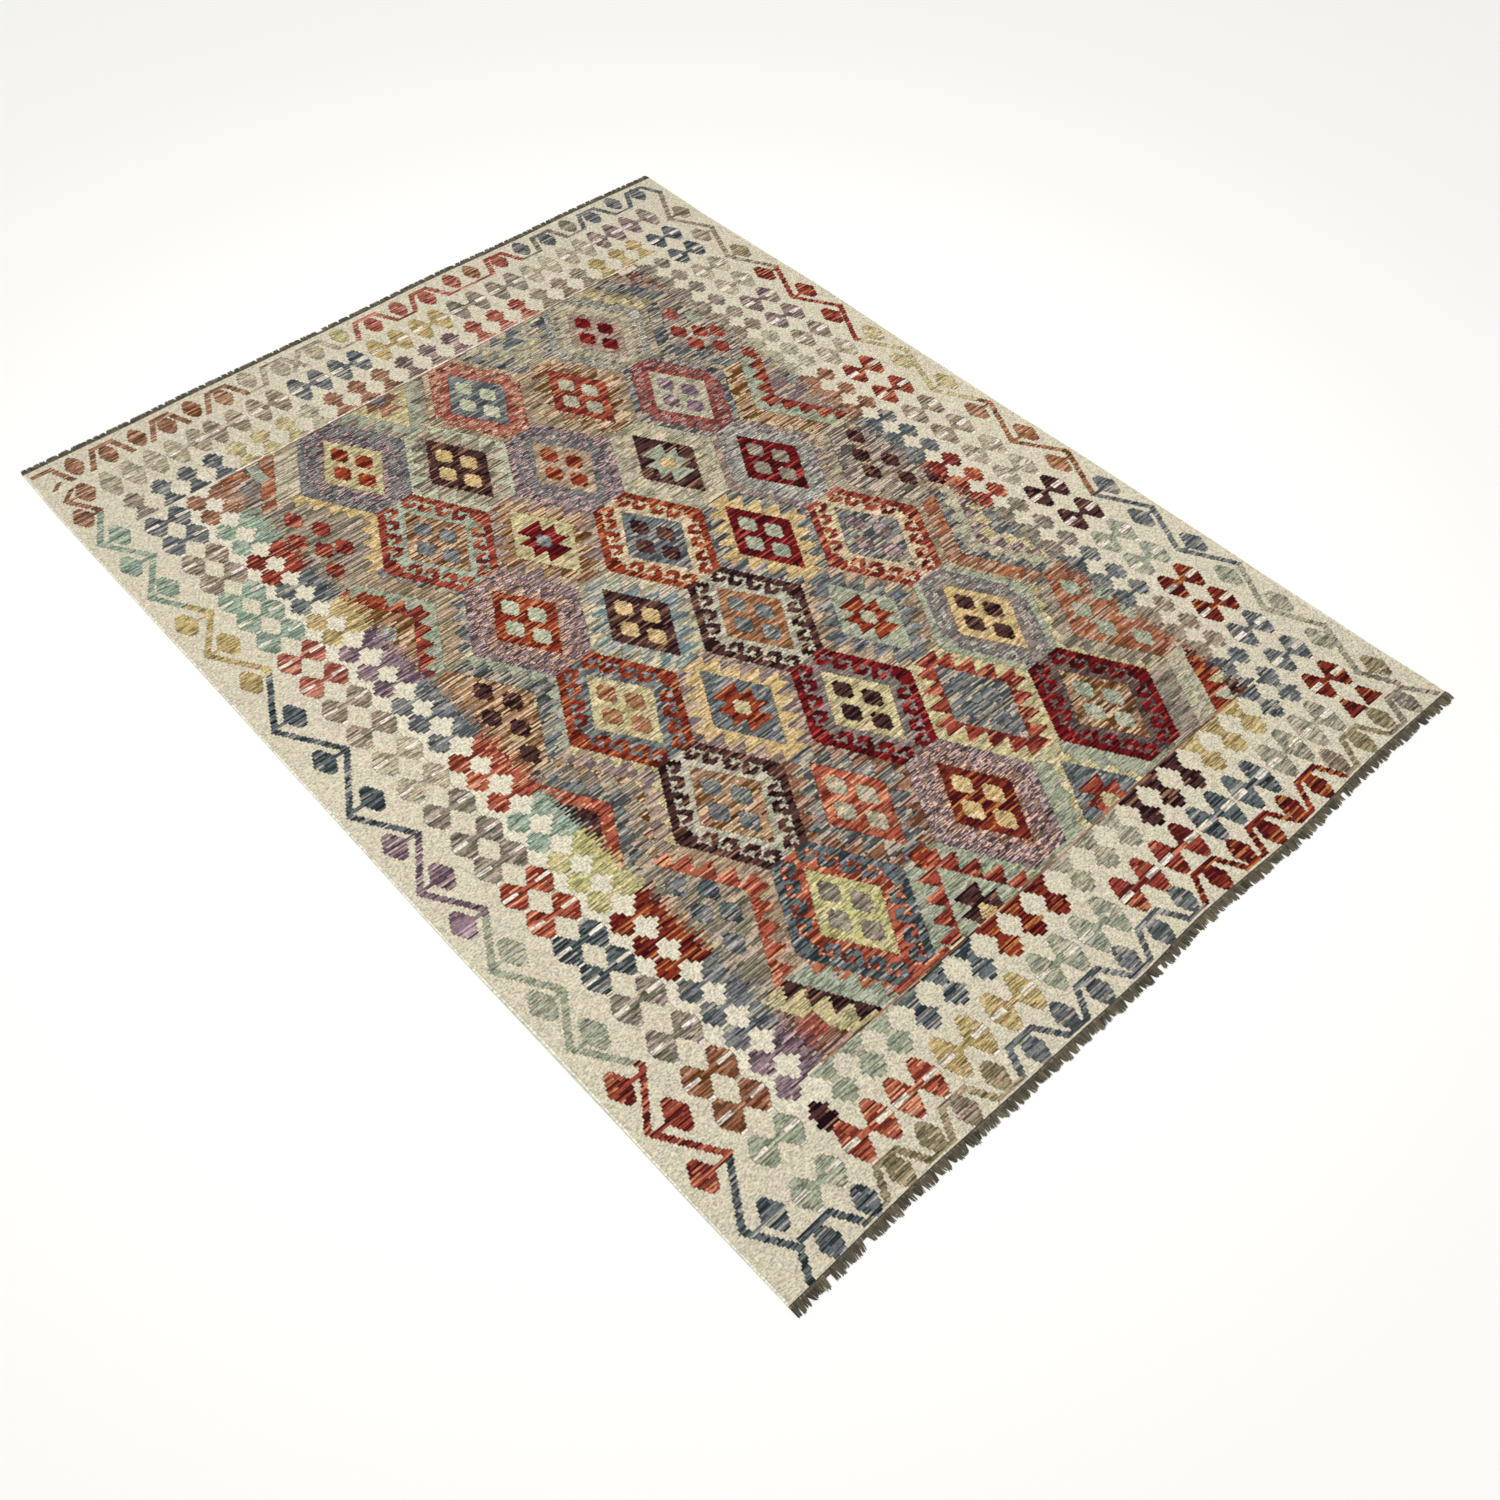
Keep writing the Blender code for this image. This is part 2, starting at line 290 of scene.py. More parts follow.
# how far the buds of a diamond stand from its middle, up and down, and to the sides
BUD_RISE, BUD_SPREAD = 13, 7

# The running hooks inside a ring: one hook is eight rows of runs, counted inwards from its edge
HOOK_BAND = 4.5
HOOK_PITCH = 8.5
HOOK_ROWS = (
    ((0.0, 8.0),),
    ((0.0, 4.5), (5.5, 10.0)),
    ((0.0, 4.5), (6.5, 10.5)),
    ((0.0, 5.0), (8.5, 12.5)),
    ((0.0, 4.5), (9.0, 13.0)),
    ((0.0, 4.5), (6.0, 12.5)),
    ((0.0, 4.0), (6.5, 12.5)),
    ((0.0, 5.5), (8.5, 12.0)),
)
# the rows of a hook that a spot stands on, and the spot's width
SPOT_ROWS, SPOT = (1, 2, 6), 3.0
# the solid waist of a ring: its rows either side of the middle, and its width there
WAIST_ROWS, WAIST = 3, 9.5
# The eight-pointed star in some narrow diamonds: half widths from its middle row outwards
STAR = [8, 8, 9, 9, 10, 10, 11.5, 4, 4, 5, 5, 6, 6, 7, 7]
STAR_HEART = taper(4.6, 1.4, 6)
CELL_HALF = 44
CORE_ROWS = 29
# the neck between two narrow diamonds: half its width, and how much wider it gets each row
NECK_HALF, NECK_SPREAD = 4.0, 0.5
# a saw tooth, from its long row to its short one
TOOTH = (11.0, 11.0, 9.0, 8.5, 6.5, 6.0, 4.0, 3.0, 1.5)
print(f"an edge climbs {SLOPE:.2f} steps a row")


# %% Four buds, and a medallion
def lay_four_buds(x, row, yarn):
    for across, down in ((0, -BUD_RISE), (0, BUD_RISE), (-BUD_SPREAD, 0), (BUD_SPREAD, 0)):
        lay_around(x + across, row + down, FIELD_BUD, yarn)


def lay_medallion(x, y, band, hooks, ground, core, buds=None, spots=None):
    """A six-sided medallion: a band with running hooks on a ground, a core, and its buds."""
    middle = round(row_at(x, y))
    for down in range(-HALF_PITCH, HALF_PITCH + 1):
        half = HEXAGON_HALF - round(SLOPE * abs(down))
        lay(middle + down, x - half, x + half, ground)
        # the hooks run from both tips to the waist, and the waist is solid
        hook_row = int((HALF_PITCH - abs(down)) * len(HOOK_ROWS) / HOOK_PITCH) % len(HOOK_ROWS)
        runs = [(near, far, hooks) for near, far in HOOK_ROWS[hook_row]] + [(0.0, HOOK_BAND, band)]
        if spots and hook_row in SPOT_ROWS:
            near = HOOK_ROWS[hook_row][1][0]
            runs.append((near, near + SPOT, spots))
        if abs(down) < WAIST_ROWS:
            runs = [(0.0, WAIST - abs(down), band)]
        for near, far, yarn in runs:
            lay(middle + down, x - half + near, x - half + far, yarn)
            lay(middle + down, x + half - far, x + half - near, yarn)
    lay_around(x, middle, taper(NARROW_HALF, 0.5, CORE_ROWS), core)
    if buds:
        lay_four_buds(x, middle, buds)


print("rows of a medallion:", 2 * HALF_PITCH + 1)


# %% Saw teeth, and a narrow diamond
def tooth_reach(down, depth):
    """How far a saw tooth stands out at a row counted from its diamond's middle."""
    place = (NARROW_REACH - abs(down)) % len(TOOTH)
    return TOOTH[place] * depth / TOOTH[0]


def lay_narrow_cell(x, y, teeth, outside, diamond, motif, second, rows, depth=TOOTH[0]):
    """The gap between medallions: its ground, a toothed surround, a diamond and its motif."""
    middle = round(row_at(x, y))
    lay_block(x - CELL_HALF, x + CELL_HALF, middle + rows[0], middle + rows[1], outside)
    for down in range(max(rows[0], -HALF_PITCH + 1), min(rows[1], HALF_PITCH - 1) + 1):
        past = abs(down) - NARROW_REACH
        if past > 0:
            reach = NECK_HALF + past * NECK_SPREAD
        else:
            reach = NARROW_HALF - round(SLOPE * abs(down)) + tooth_reach(down, depth)
        lay(middle + down, x - reach, x + reach, teeth)
    lay_around(x, middle, taper(NARROW_HALF, 0.5, NARROW_REACH), diamond)
    if motif == "star":
        lay_around(x, middle, STAR, second[0])
        lay_around(x, middle, STAR_HEART, second[1])
    elif motif == "buds":
        lay_four_buds(x, middle, second)


print("rows from one saw tooth to the next:", len(TOOTH))


# %% The ground of the field and its narrow diamonds
FIELD_LEFT, FIELD_RIGHT = 74.0, 371.5
FIELD_TOP, FIELD_BOTTOM = 74, 534
lay_block(FIELD_LEFT, FIELD_RIGHT, FIELD_TOP, FIELD_BOTTOM, "sage_streak")

NARROW_CELLS = (
    # x, y, teeth, outside, diamond, motif, yarn or yarns of the motif, rows painted
    (177, 76.0, "celadon", "khaki_streak", "straw", "star", ("brick", "slate"), (0, 38)),
    (265, 72.6, "sage_streak", "blue_streak", "sage", "star", ("slate", "straw"), (0, 38)),
    (177, 152.5, "khaki_streak", "pistachio", "aubergine", "buds", "apricot", (-38, 38)),
    (177, 228.5, "ochre_streak", "lilac_streak", "straw", "star", ("crimson", "slate"), (-38, 38)),
    (177, 305.5, "mist_streak", "sage_streak", "aubergine", "buds", "apricot", (-38, 38)),
    (177.5, 380.5, "apricot", "lilac_streak", "slate", "star", ("rust", "straw"), (-38, 38)),
    (178, 457.5, "blue_streak", "rust_streak", "coral", "buds", "greige", (-38, 38)),
    (265.5, 148.5, "ochre_streak", "beige_streak", "red", "buds", "sage", (-38, 38)),
    (265.5, 225.0, "sage_streak", "sage", "aubergine", "star", ("celadon", "apricot"), (-38, 38)),
    (265.5, 302.0, "apricot", "blue_streak", "crimson", "buds", "celadon", (-38, 38)),
    (265.5, 379.0, "slate", "beige_streak", "celadon", "star", ("rust", "sage"), (-38, 38)),
    (266, 455.5, "red", "straw", "blue_streak", "buds", "slate", (-38, 42)),
    (179, 538.5, "red", "celadon", "celadon", "star", ("aubergine", "apricot"), (-38, 0)),
    (266.5, 535.0, "straw", "celadon", "slate", "star", ("red", "straw"), (-38, 3), 5.0),
)
for cell in NARROW_CELLS:
    lay_narrow_cell(*cell)
# the patch between the last two diamonds of the first column
lay_block(173.5, 183.5, 489, 496, "oxide")
chart[:FIELD_TOP] = chart[FIELD_BOTTOM:] = YARN_NAMES.index("cream")
print(len(NARROW_CELLS), "narrow diamonds")


# %% [markdown]
# The field's left and right edges cut through half cells, and the weaver filled each one another
# way: nested zigzags, saw edges, or loose buds on streaky ground. Each half cell is a few layers
# that reach inwards from the side border, painted from the widest to the narrowest.

# %% The half cells along the sides of the field
def lay_wedge(top_left, bottom_left, right, top, bottom, yarn):
    """Rows whose left end slants and whose right end is straight."""
    for row in range(top, bottom):
        slant = (bottom_left - top_left) * (row - top) / (bottom - top)
        lay(row, top_left + round(slant), right, yarn)


def lay_half_cell(edge, inwards, y, layers, buds, rows):
    """Layers of (reach at the middle, depth of its teeth, yarn), then buds of (x, y, yarn)."""
    middle = round(row_at(edge, y))
    for reach, depth, yarn in layers:
        for down in range(rows[0], rows[1] + 1):
            wide = max(reach - round(SLOPE * abs(down)), 0) + tooth_reach(down, depth)
            if wide > 0:
                lay(middle + down, *sorted((edge, edge + inwards * wide)), yarn)
    for x, bud_y, yarn in buds:
        lay_around(x, row_at(x, bud_y), FIELD_BUD, yarn)


print("half widths of a loose bud:", FIELD_BUD)

# %% What fills each half cell
LEFT_CELLS = (
    # y, layers, buds, rows painted
    (77.0, ((62, 0, "sage_streak"), (34, 0, "coral_streak"), (25, 0, "grey_streak")), (), (0, 38)),
    (153.5, ((64, 0, "apricot"), (38, 7, "khaki_streak")),
     ((87.5, 129.5, "red"), (80.5, 144, "red"), (95, 144, "red"), (87.5, 158.5, "red"),
      (96.5, 163.5, "red"), (83.5, 175.5, "red")), (-38, 38)),
    (228.5, ((60, 0, "sage_streak"), (48, 6, "blue_streak"), (42, 5, "beige_streak"),
             (34, 0, "celadon"), (22, 8, "red"), (20, 0, "ochre_streak"), (3, 0, "lilac_streak")),
     ((78.5, 229, "sage_speckle"), (86, 207, "rust")), (-38, 38)),
    (308.0, ((60, 0, "celadon"), (40, 7, "blue_streak"), (35, 0, "ochre_streak")),
     ((91, 290.5, "aubergine"), (84, 306.5, "aubergine"), (98, 305, "aubergine"),
      (90.5, 320.5, "aubergine"), (84, 335.5, "aubergine")), (-38, 38)),
    (383.5, ((60, 0, "straw"), (42, 7, "lilac_streak"), (38, 0, "ochre_streak"),
             (32, 6, "khaki_streak"), (24, 6, "blue_streak"), (20, 0, "coral"),
             (12, 0, "aubergine")), (), (-38, 38)),
    (460.0, ((60, 0, "fawn"), (36, 9, "coral"), (34, 0, "khaki_streak")),
     ((86.5, 437, "slate"), (96, 447, "navy"), (85.5, 454.5, "slate"), (95.5, 463, "navy"),
      (86, 475, "slate")), (-38, 43)),
    (543.0, ((64, 0, "celadon"), (58, 0, "coral_streak"), (44, 8, "mint"), (38, 0, "aubergine"),
             (27, 9, "straw"), (21, 0, "rust_streak"), (6, 0, "lilac_streak")), (), (-38, -1)),
)
RIGHT_CELLS = (
    (71.0, ((60, 0, "khaki_streak"), (46, 6, "straw"), (40, 5, "olive"), (37, 0, "blue_streak"),
            (26, 0, "lilac_streak"), (14, 6, "rust_streak"), (10, 0, "grey_streak")), (), (0, 38)),
    (147.0, ((60, 0, "khaki_streak"), (46, 0, "blue_streak"), (37, 0, "grey_streak")),
     ((354.5, 124, "rose"), (347, 140, "red"), (357, 148, "red"), (347.5, 155, "red"),
      (365, 155, "red"), (357, 167, "red"), (365.5, 183, "red"), (363.5, 135, "celadon")),
     (-38, 38)),
    (221.5, ((60, 0, "straw"), (45, 7, "ochre_streak"), (38, 0, "celadon"), (25, 8, "red"),
             (23, 0, "lilac_streak")), ((368, 217, "slate"),), (-38, 38)),
    (302.0, ((60, 0, "khaki_streak"), (44, 0, "grey_streak"), (30, 0, "beige_streak"),
             (24, 0, "grey_streak")),
     ((359, 277, "aubergine"), (350, 290, "aubergine"), (345, 304, "aubergine"),
      (359.5, 304, "aubergine"), (356, 320, "aubergine"), (368, 330, "aubergine")), (-38, 38)),
    (379.0, ((60, 0, "beige_streak"), (47, 0, "coral_streak"), (37, 0, "blue_streak"),
             (28, 5, "sage"), (24, 0, "lilac"), (13, 8, "straw"), (9, 4, "slate")), (), (-38, 38)),
    (457.0, ((60, 0, "straw"), (44, 5, "khaki_streak"), (38, 0, "coral_streak")),
     ((358.5, 433.5, "celadon"), (350.5, 448, "celadon"), (367.5, 447, "celadon"),
      (350, 465, "celadon"), (367.5, 464, "celadon"), (359, 480.5, "celadon")), (-38, 38)),
    (535.0, ((62, 0, "umber"), (38, 0, "sage"), (25, 0, "rust")),
     (), (-38, 0)),
)
for cells, edge, inwards in ((LEFT_CELLS, FIELD_LEFT, 1), (RIGHT_CELLS, FIELD_RIGHT, -1)):
    for y, layers, buds, rows in cells:
        lay_half_cell(edge, inwards, y, layers, buds, rows)
WEDGES = (
    # left end at the top and at the bottom, right end, top row, bottom row, yarn
    (74, 74, 88, 74, 83, "coral_streak"), (90, 88, 96, 76, 90, "celadon"),
    (75, 75, 88, 515, 526, "rose"), (357, 357, 370, 74, 79, "cream"),
    (364.5, 356.5, 370, 500, 515, "oxide"), (359, 364, 370, 518, 524, "straw"),
    (354, 358, 364, 526, 534, "pearl"), (366, 360, 370, 524, 533, "aubergine"),
    (120, 120, 152, 531, 534, "coral"),
)
for wedge in WEDGES:
    lay_wedge(*wedge)
print(len(LEFT_CELLS), "half cells on the left,", len(RIGHT_CELLS), "on the right")

# %% The medallions
MEDALLIONS = (
    # x, y, band, hooks, ground of the hooks, core, buds, spots on the hooks
    (134.5, 115.0, "dusk_speckle", "dusk_speckle", "purple_speckle", "straw", "rust"),
    (134.5, 192.5, "red", "red", "mint", "ochre_streak", "slate"),
    (134.5, 268.0, "purple_speckle", "purple_speckle", "fawn_speckle", "rust", "pistachio"),
    (134.5, 344.0, "rust", "rust", "slate", "straw", "ochre"),
    (134.5, 419.5, "aubergine", "aubergine", "pearl", "ochre_streak", "slate"),
    (134.5, 497.5, "navy", "navy", "coral", "citron", "umber"),
    (219.5, 113.0, "beige_streak", "rose_speckle", "rose", "slate", "pistachio"),
    (220.5, 190.5, "purple_speckle", "purple_speckle", "dusk_speckle", "fawn", "rust"),
    (221.0, 266.5, "rust", "rust", "sand", "slate", "aubergine"),
    (221.5, 341.5, "aubergine", "aubergine", "pearl", "ochre", "slate"),
    (221.5, 418.0, "crimson", "crimson", "haze", "straw", "aubergine"),
    (222.0, 496.0, "purple_speckle", "purple_speckle", "fawn_speckle", "oxide", "apricot"),
    (309.0, 109.5, "sage_speckle", "greige", "greige", "blush", "crimson", "moss"),
    (309.0, 185.5, "blue_streak", "clay_speckle", "madder", "sage", "purple"),
    (309.0, 261.5, "lilac_streak", "sage_speckle", "sage_speckle", "crimson", "umber", "plum"),
    (309.0, 340.0, "red", "red", "sand", "blue_streak", "lilac"),
    (309.5, 418.0, "celadon", "sage_speckle", "haze", "apricot", "aubergine", "plum"),
    (309.5, 496.0, "crimson", "crimson", "mauve", "ochre_streak", "celadon"),
)
for medallion in MEDALLIONS:
    lay_medallion(*medallion)
print(len(MEDALLIONS), "medallions")

# %% [markdown]
# ## The borders
#
# Three borders run around the field on a cream ground. The inner one is a row of stepped crosses
# that grow out of the field's edge. The middle one is pairs of buds tied by a thin neck, each with
# a cream slit across it. The outer one is a vine that turns from side to side with a bud at each
# turn, and at the two ends it becomes a row of flat-topped tents. The weaver changed the yarn every
# few motifs, so the tables give a yarn for each stretch.

# %% Crosses along the sides, on a slightly whiter ground on the left
lay_block(46, FIELD_LEFT, 62, 546, "milk")
CROSS = [5.4] * 2 + [3.9] * 3 + [1.8] * 2
# how far the strip between crosses and field steps back, from a cross's middle row onwards
STRIP_STEPS = (0, 0, 1.8, 1.8, 1.8, 4.0, 4.0, 6.0, 6.0, 6.0)
FIRST_CROSS_ABOVE = 7
# how far the yarn of the crosses runs on into the field, from row to row
RAGGED_STEPS = (3, 0, 5, 1, 4, 2, 7, 0, 3, 6, 1)
LEFT_CROSSES = (
    ("brick", (84.5, 99)), ("teal", (114, 129)), ("red", (144, 158)), ("slate", (171.5, 185)),
    ("mustard", (199.5, 213.5)), ("purple", (228.5, 244, 258.5)), ("slate", (273, 287.5, 303)),
    ("coral", (318.5, 333.5, 349)), ("teal", (363.5, 378.5)), ("citron", (393, 407.5, 421.5)),
    ("oxide", (436.5, 451.5, 466)), ("slate", (480.5, 495, 509.5)), ("purple", (524.5, 539.5)),
)
RIGHT_CROSSES = (
    ("umber", (81, 98, 113.5, 131)), ("taupe", (147, 163.5)), ("sage", (179, 195, 211)),
    ("brick", (227, 243.5, 260)), ("slate", (276, 293, 309.5)), ("red", (326, 342, 358.5)),
    ("umber", (375, 392, 409)), ("slate", (425, 441.5, 457)), ("taupe", (473, 489, 505)),
    ("slate", (520, 537.5)),
)


def lay_side_crosses(groups, cross_x, strip_x, field_x):
    """Crosses, the stepped strip that joins them to the field, and the links between the two."""
    rows = [(round(row_at(cross_x, y)), yarn) for yarn, places in groups for y in places]
    inwards = 1 if field_x > cross_x else -1
    for i, (row, yarn) in enumerate(rows):
        above = (row + rows[i - 1][0]) // 2 if i else max(row - FIRST_CROSS_ABOVE, FIELD_TOP + 1)
        below = (row + rows[i + 1][0]) // 2 if i + 1 < len(rows) else FIELD_BOTTOM
        for r in range(above, below):
            step = STRIP_STEPS[min(abs(r - row), len(STRIP_STEPS) - 1)]
            ragged = RAGGED_STEPS[r % len(RAGGED_STEPS)]
            lay(r, *sorted((strip_x + inwards * step, field_x + inwards * ragged)), yarn)
        lay_around(cross_x, row, CROSS, yarn)
        lay_block(*sorted((cross_x, strip_x + inwards * 2)), row, row + 2, yarn)
    return len(rows)


count = lay_side_crosses(LEFT_CROSSES, 56.2, 64.0, 73.5)
count += lay_side_crosses(RIGHT_CROSSES, 385.5, 380.0, 372.0)
print(count, "crosses along the sides")

# %% Crosses along the two ends
END_CROSS = ([2.0] * 2 + [4.2] * 4 + [6.4] * 2 + [4.9] * 2 + [3.2] * 2 + [2.0] * 3
             + [3.4] * 3 + [4.8] * 2 + [6.5] * 2)
FAR_CROSSES = (
    ("umber", (32,)), ("slate", (48.5, 64.5, 80.5)), ("straw", (95.5, 110.5, 126.5)),
    ("sage", (142.5,)), ("brick", (158.5, 174.5, 190.5)), ("lilac", (207.5, 224, 240.5)),
    ("rose", (257.5, 274, 290.5)), ("taupe", (307, 323, 338.5)), ("mustard", (353.5, 369.5, 384)),
)
NEAR_CROSSES = (
    ("celadon", (73, 89, 104.5)), ("navy", (121.5, 138.5, 156)), ("oxide", (173, 188.5, 204.5)),
    ("stone", (222, 240, 257)), ("aubergine", (273.5, 289, 305)), ("mustard", (321, 337.5, 353.5)),
    ("slate", (368.7, 383.7)),
)
for groups, top_row, stack in ((FAR_CROSSES, FIELD_TOP - 1 - len(END_CROSS), END_CROSS),
                               (NEAR_CROSSES, FIELD_BOTTOM + 1, END_CROSS[::-1])):
    for yarn, places in groups:
        for x in places:
            lay_stack(x, top_row, stack, yarn)
# two loose crosses at the near left corner of the field
lay_stack(58.5, FIELD_BOTTOM + 11, [1.6, 1.6, 3.2, 3.2, 5.4, 5.4, 3.2, 3.2, 1.6], "aubergine")
lay_around(58.5, row_at(58.5, 561), CROSS, "aubergine")
print(sum(len(places) for _, places in FAR_CROSSES + NEAR_CROSSES), "crosses along the ends")

# the weft lines where the field starts and ends
lay(FIELD_TOP, 74.0, 370.0, "brick")
lay(FIELD_TOP - 1, 74.0, 370.0, "slit")
lay(FIELD_BOTTOM, 75.5, 371.0, "brick")


# %% Tied buds of the middle border
TIED_HALF = 5.7
TIED_TIP = 1.8
SLIT_REACH = 2.2


def lay_tied_buds(left_x, right_x, row, yarn, tall, slit=3):
    """Two buds tied by a neck, each cut across by a cream slit from its outer side."""
    row = round(row)
    for x in (left_x, right_x):
        lay(row + tall + 1, x - TIED_TIP, x + TIED_TIP, "slit")
        lay_around(x, row, taper(TIED_HALF, 1.7, tall + 1, plump=1.6), yarn)
    lay_block(left_x, right_x, row - 1, row + 2, yarn)
    lay_block(left_x - TIED_HALF, left_x + SLIT_REACH, row - 1, row - 1 + slit, "slit")
    lay_block(right_x - SLIT_REACH, right_x + TIED_HALF, row - 1, row - 1 + slit, "slit")


print("a tied bud is", 2 * TIED_HALF, "steps wide")

# %% Where the tied buds stand
LEFT_TIES = (
    ("slate", (86, 105)), ("taupe", (124.5, 142.5)), ("teal", (159.5, 177.5, 195.5)),
    ("rose", (214, 234)), ("taupe", (254.5, 275)), ("greige", (296, 317)),
    ("umber", (337.5, 358, 376)), ("coral", (394.5, 413)), ("navy", (431.5, 450)),
    ("umber", (469.5, 492)), ("clay", (513, 533)), ("celadon", (553.5, 577)),
)
RIGHT_TIES = (
    ("navy", (60, 82)), ("greige", (104, 126)), ("lilac", (148.5, 170.5)),
    ("taupe", (193.5,)), ("greige", (215.5,)), ("red", (238, 261.5)), ("taupe", (285, 308.5)),
    ("greige", (331.5, 354.5)), ("aubergine", (378, 402)), ("celadon", (424.5, 446.5)),
    ("oxide", (468.5, 491)), ("slate", (513, 535.5)), ("oxide", (559,)),
)
FAR_TIES = (
    ("greige", ((43, 57), (70, 84))), ("taupe", ((94.5, 108.5), (122, 135))),
    ("slate", ((149, 162.5), (176, 189.5))), ("mustard", ((203.5, 218.4), (233.4, 247.3))),
    ("umber", ((261.2, 275.7), (290.6, 304.6))), ("greige", ((316.7, 331.2), (345.2, 358.3))),
    ("lilac", ((370.8, 384), (397.2, 412.2))),
)
FAR_TIE_ROW, NEAR_TIE_ROW = 37, 570
NEAR_TIES = (
    ("coral", ((60, 74.5), (88, 101.5))), ("mustard", ((115, 130.5), (146, 161))),
    ("celadon", ((175, 189), (203, 217.5))), ("red", ((232, 247), (261, 275.5))),
    ("navy", ((289, 302.5), (316, 329.5))), ("stone", ((343.5, 357), (370, 384))),
)
for groups, left_x, right_x, tall, slit in ((LEFT_TIES, 30.5, 44.5, 8, 2),
                                            (RIGHT_TIES, 399, 412.5, 9, 3)):
    for yarn, places in groups:
        for y in places:
            lay_tied_buds(left_x, right_x, row_at((left_x + right_x) / 2, y), yarn, tall, slit)
for groups, row in ((FAR_TIES, FAR_TIE_ROW), (NEAR_TIES, NEAR_TIE_ROW)):
    for yarn, pairs in groups:
        for left_x, right_x in pairs:
            lay_tied_buds(left_x, right_x, row, yarn, tall=11)
# a lone bud at the far left corner, and two half ones at the near right
lay_around(29.5, FAR_TIE_ROW, taper(TIED_HALF, TIED_TIP, 12), "greige")
for x in (398.8, 412.2):
    lay_stack(x, NEAR_TIE_ROW, taper(TIED_TIP, TIED_HALF, 11), "oxide")
print(sum(len(places) for _, places in LEFT_TIES + RIGHT_TIES + FAR_TIES + NEAR_TIES), "tied pairs")

# %% [markdown]
# The vine is a band that runs straight from turn to turn. It is the part of the border that shows
# best how a tapestry makes a slanting line: a step of one or two warps every row.

# %% The vine along the sides
BAND_HALF = 1.9
VINE_BUD = taper(5.7, 1.7, 9, plump=1.4)
LEFT_VINE = ((10.5, 29.5), (4, 37), (15, 55), (2, 79), (19, 104), (2, 130), (20, 159),
             (3, 183), (21, 210), (2, 246), (22, 277), (1, 311), (19, 339), (1, 366),
             (17, 391), (1, 418), (17, 445), (2, 468), (19, 493), (2, 517), (20, 544),
             (2, 571), (14, 590), (7, 604))
RIGHT_VINE = ((431, 6), (437, 19), (421.5, 47.5), (436.5, 72), (422, 103), (437, 130), (422, 160),
              (438.5, 185.5), (422.5, 215), (438.5, 241), (423, 278), (439.5, 307), (422.5, 337.5),
              (439.5, 364), (422.5, 396.5), (439, 424), (423, 454), (439, 481.5), (422.5, 509.5),
              (437, 537), (421.5, 567), (430, 584))
PAST_END = 700
# where each yarn of a vine ends
LEFT_VINE_YARNS = ((57, "brick"), (147, "teal"), (212, "mustard"), (340, "navy"), (393, "purple"),
                   (490, "celadon"), (546, "red"), (PAST_END, "navy"))
RIGHT_VINE_YARNS = ((20, "slate"), (130, "taupe"), (216, "red"), (300, "straw"), (396, "ochre"),
                    (482, "slate"), (566, "stone"), (PAST_END, "umber"))
# buds: x, y, and the x of the turn that the stem runs to
LEFT_VINE_BUDS = (
    (15.5, 36, 4, "brick"), (5, 54.5, 14, "brick"), (13, 79, 3, "teal"), (6, 104, 18, "teal"),
    (12.5, 129.5, 3, "teal"), (6, 158.5, 19, "mustard"), (15, 183.5, 4, "mustard"),
    (10, 212, 20, "mustard"), (14.5, 244.5, 3, "navy"), (10, 277, 21, "navy"),
    (14.5, 309.5, 2, "navy"), (7, 338, 18, "purple"), (13.5, 364.5, 2, "purple"),
    (5.5, 391, 16, "purple"), (13, 416.5, 2, "celadon"), (6, 445, 16, "celadon"),
    (13.5, 469, 3, "celadon"), (5.5, 494.5, 18, "red"), (15.5, 518, 3, "red"),
    (6, 545, 19, "red"), (15.5, 574, 3, "navy"),
)
RIGHT_VINE_BUDS = (
    (433, 46.5, 422, "taupe"), (425.5, 74.5, 436, "taupe"), (432.5, 103, 423, "olive"),
    (426.5, 131.5, 436, "red"), (433.5, 160.5, 423, "red"), (427.5, 189, 437, "red"),
    (434.5, 217, 423, "straw"), (428.5, 246.5, 437, "straw"), (434.5, 277, 424, "straw"),
    (428, 307, 438, "brick"), (434.5, 337.5, 423, "ochre"), (428, 367.5, 438, "ochre"),
    (434, 396.5, 423, "slate"), (428, 425.5, 438, "slate"), (434, 455.5, 424, "slate"),
    (428, 482.5, 437, "celadon"), (433, 511.5, 424, "stone"), (427, 540.5, 436, "stone"),
    (432, 571, 423, "olive"),
)
print("turns of the side vines:", len(LEFT_VINE) + len(RIGHT_VINE))


# %% Bands and buds of the vine
def yarn_at(y, stretches):
    return next(yarn for end, yarn in stretches if y <= end)


def lay_band(turns, stretches):
    """A band of even width that runs straight from each turn to the next."""
    for (x0, y0), (x1, y1) in zip(turns, turns[1:]):
        first, last = row_at(x0, y0), row_at(x1, y1)
        count = max(1, round(last - first))
        for i in range(count + 1):
            x = x0 + round((x1 - x0) * i / count)
            y = y0 + (y1 - y0) * i / count
            lay(first + i, x - BAND_HALF, x + BAND_HALF, yarn_at(y, stretches))


def lay_vine_buds(buds):
    for x, y, turn_x, yarn in buds:
        row = round(row_at(x, y))
        lay_around(x, row, VINE_BUD, yarn)
        lay_block(*sorted((x, turn_x)), row, row + 2, yarn)


# the first is a short end of vine above the left one
lay_band(((7.5, 20), (3.5, 24)), LEFT_VINE_YARNS)
lay_band(LEFT_VINE, LEFT_VINE_YARNS)
lay_band(RIGHT_VINE, RIGHT_VINE_YARNS)
lay_vine_buds(LEFT_VINE_BUDS + RIGHT_VINE_BUDS)
print(len(LEFT_VINE_BUDS) + len(RIGHT_VINE_BUDS), "buds on the side vines")

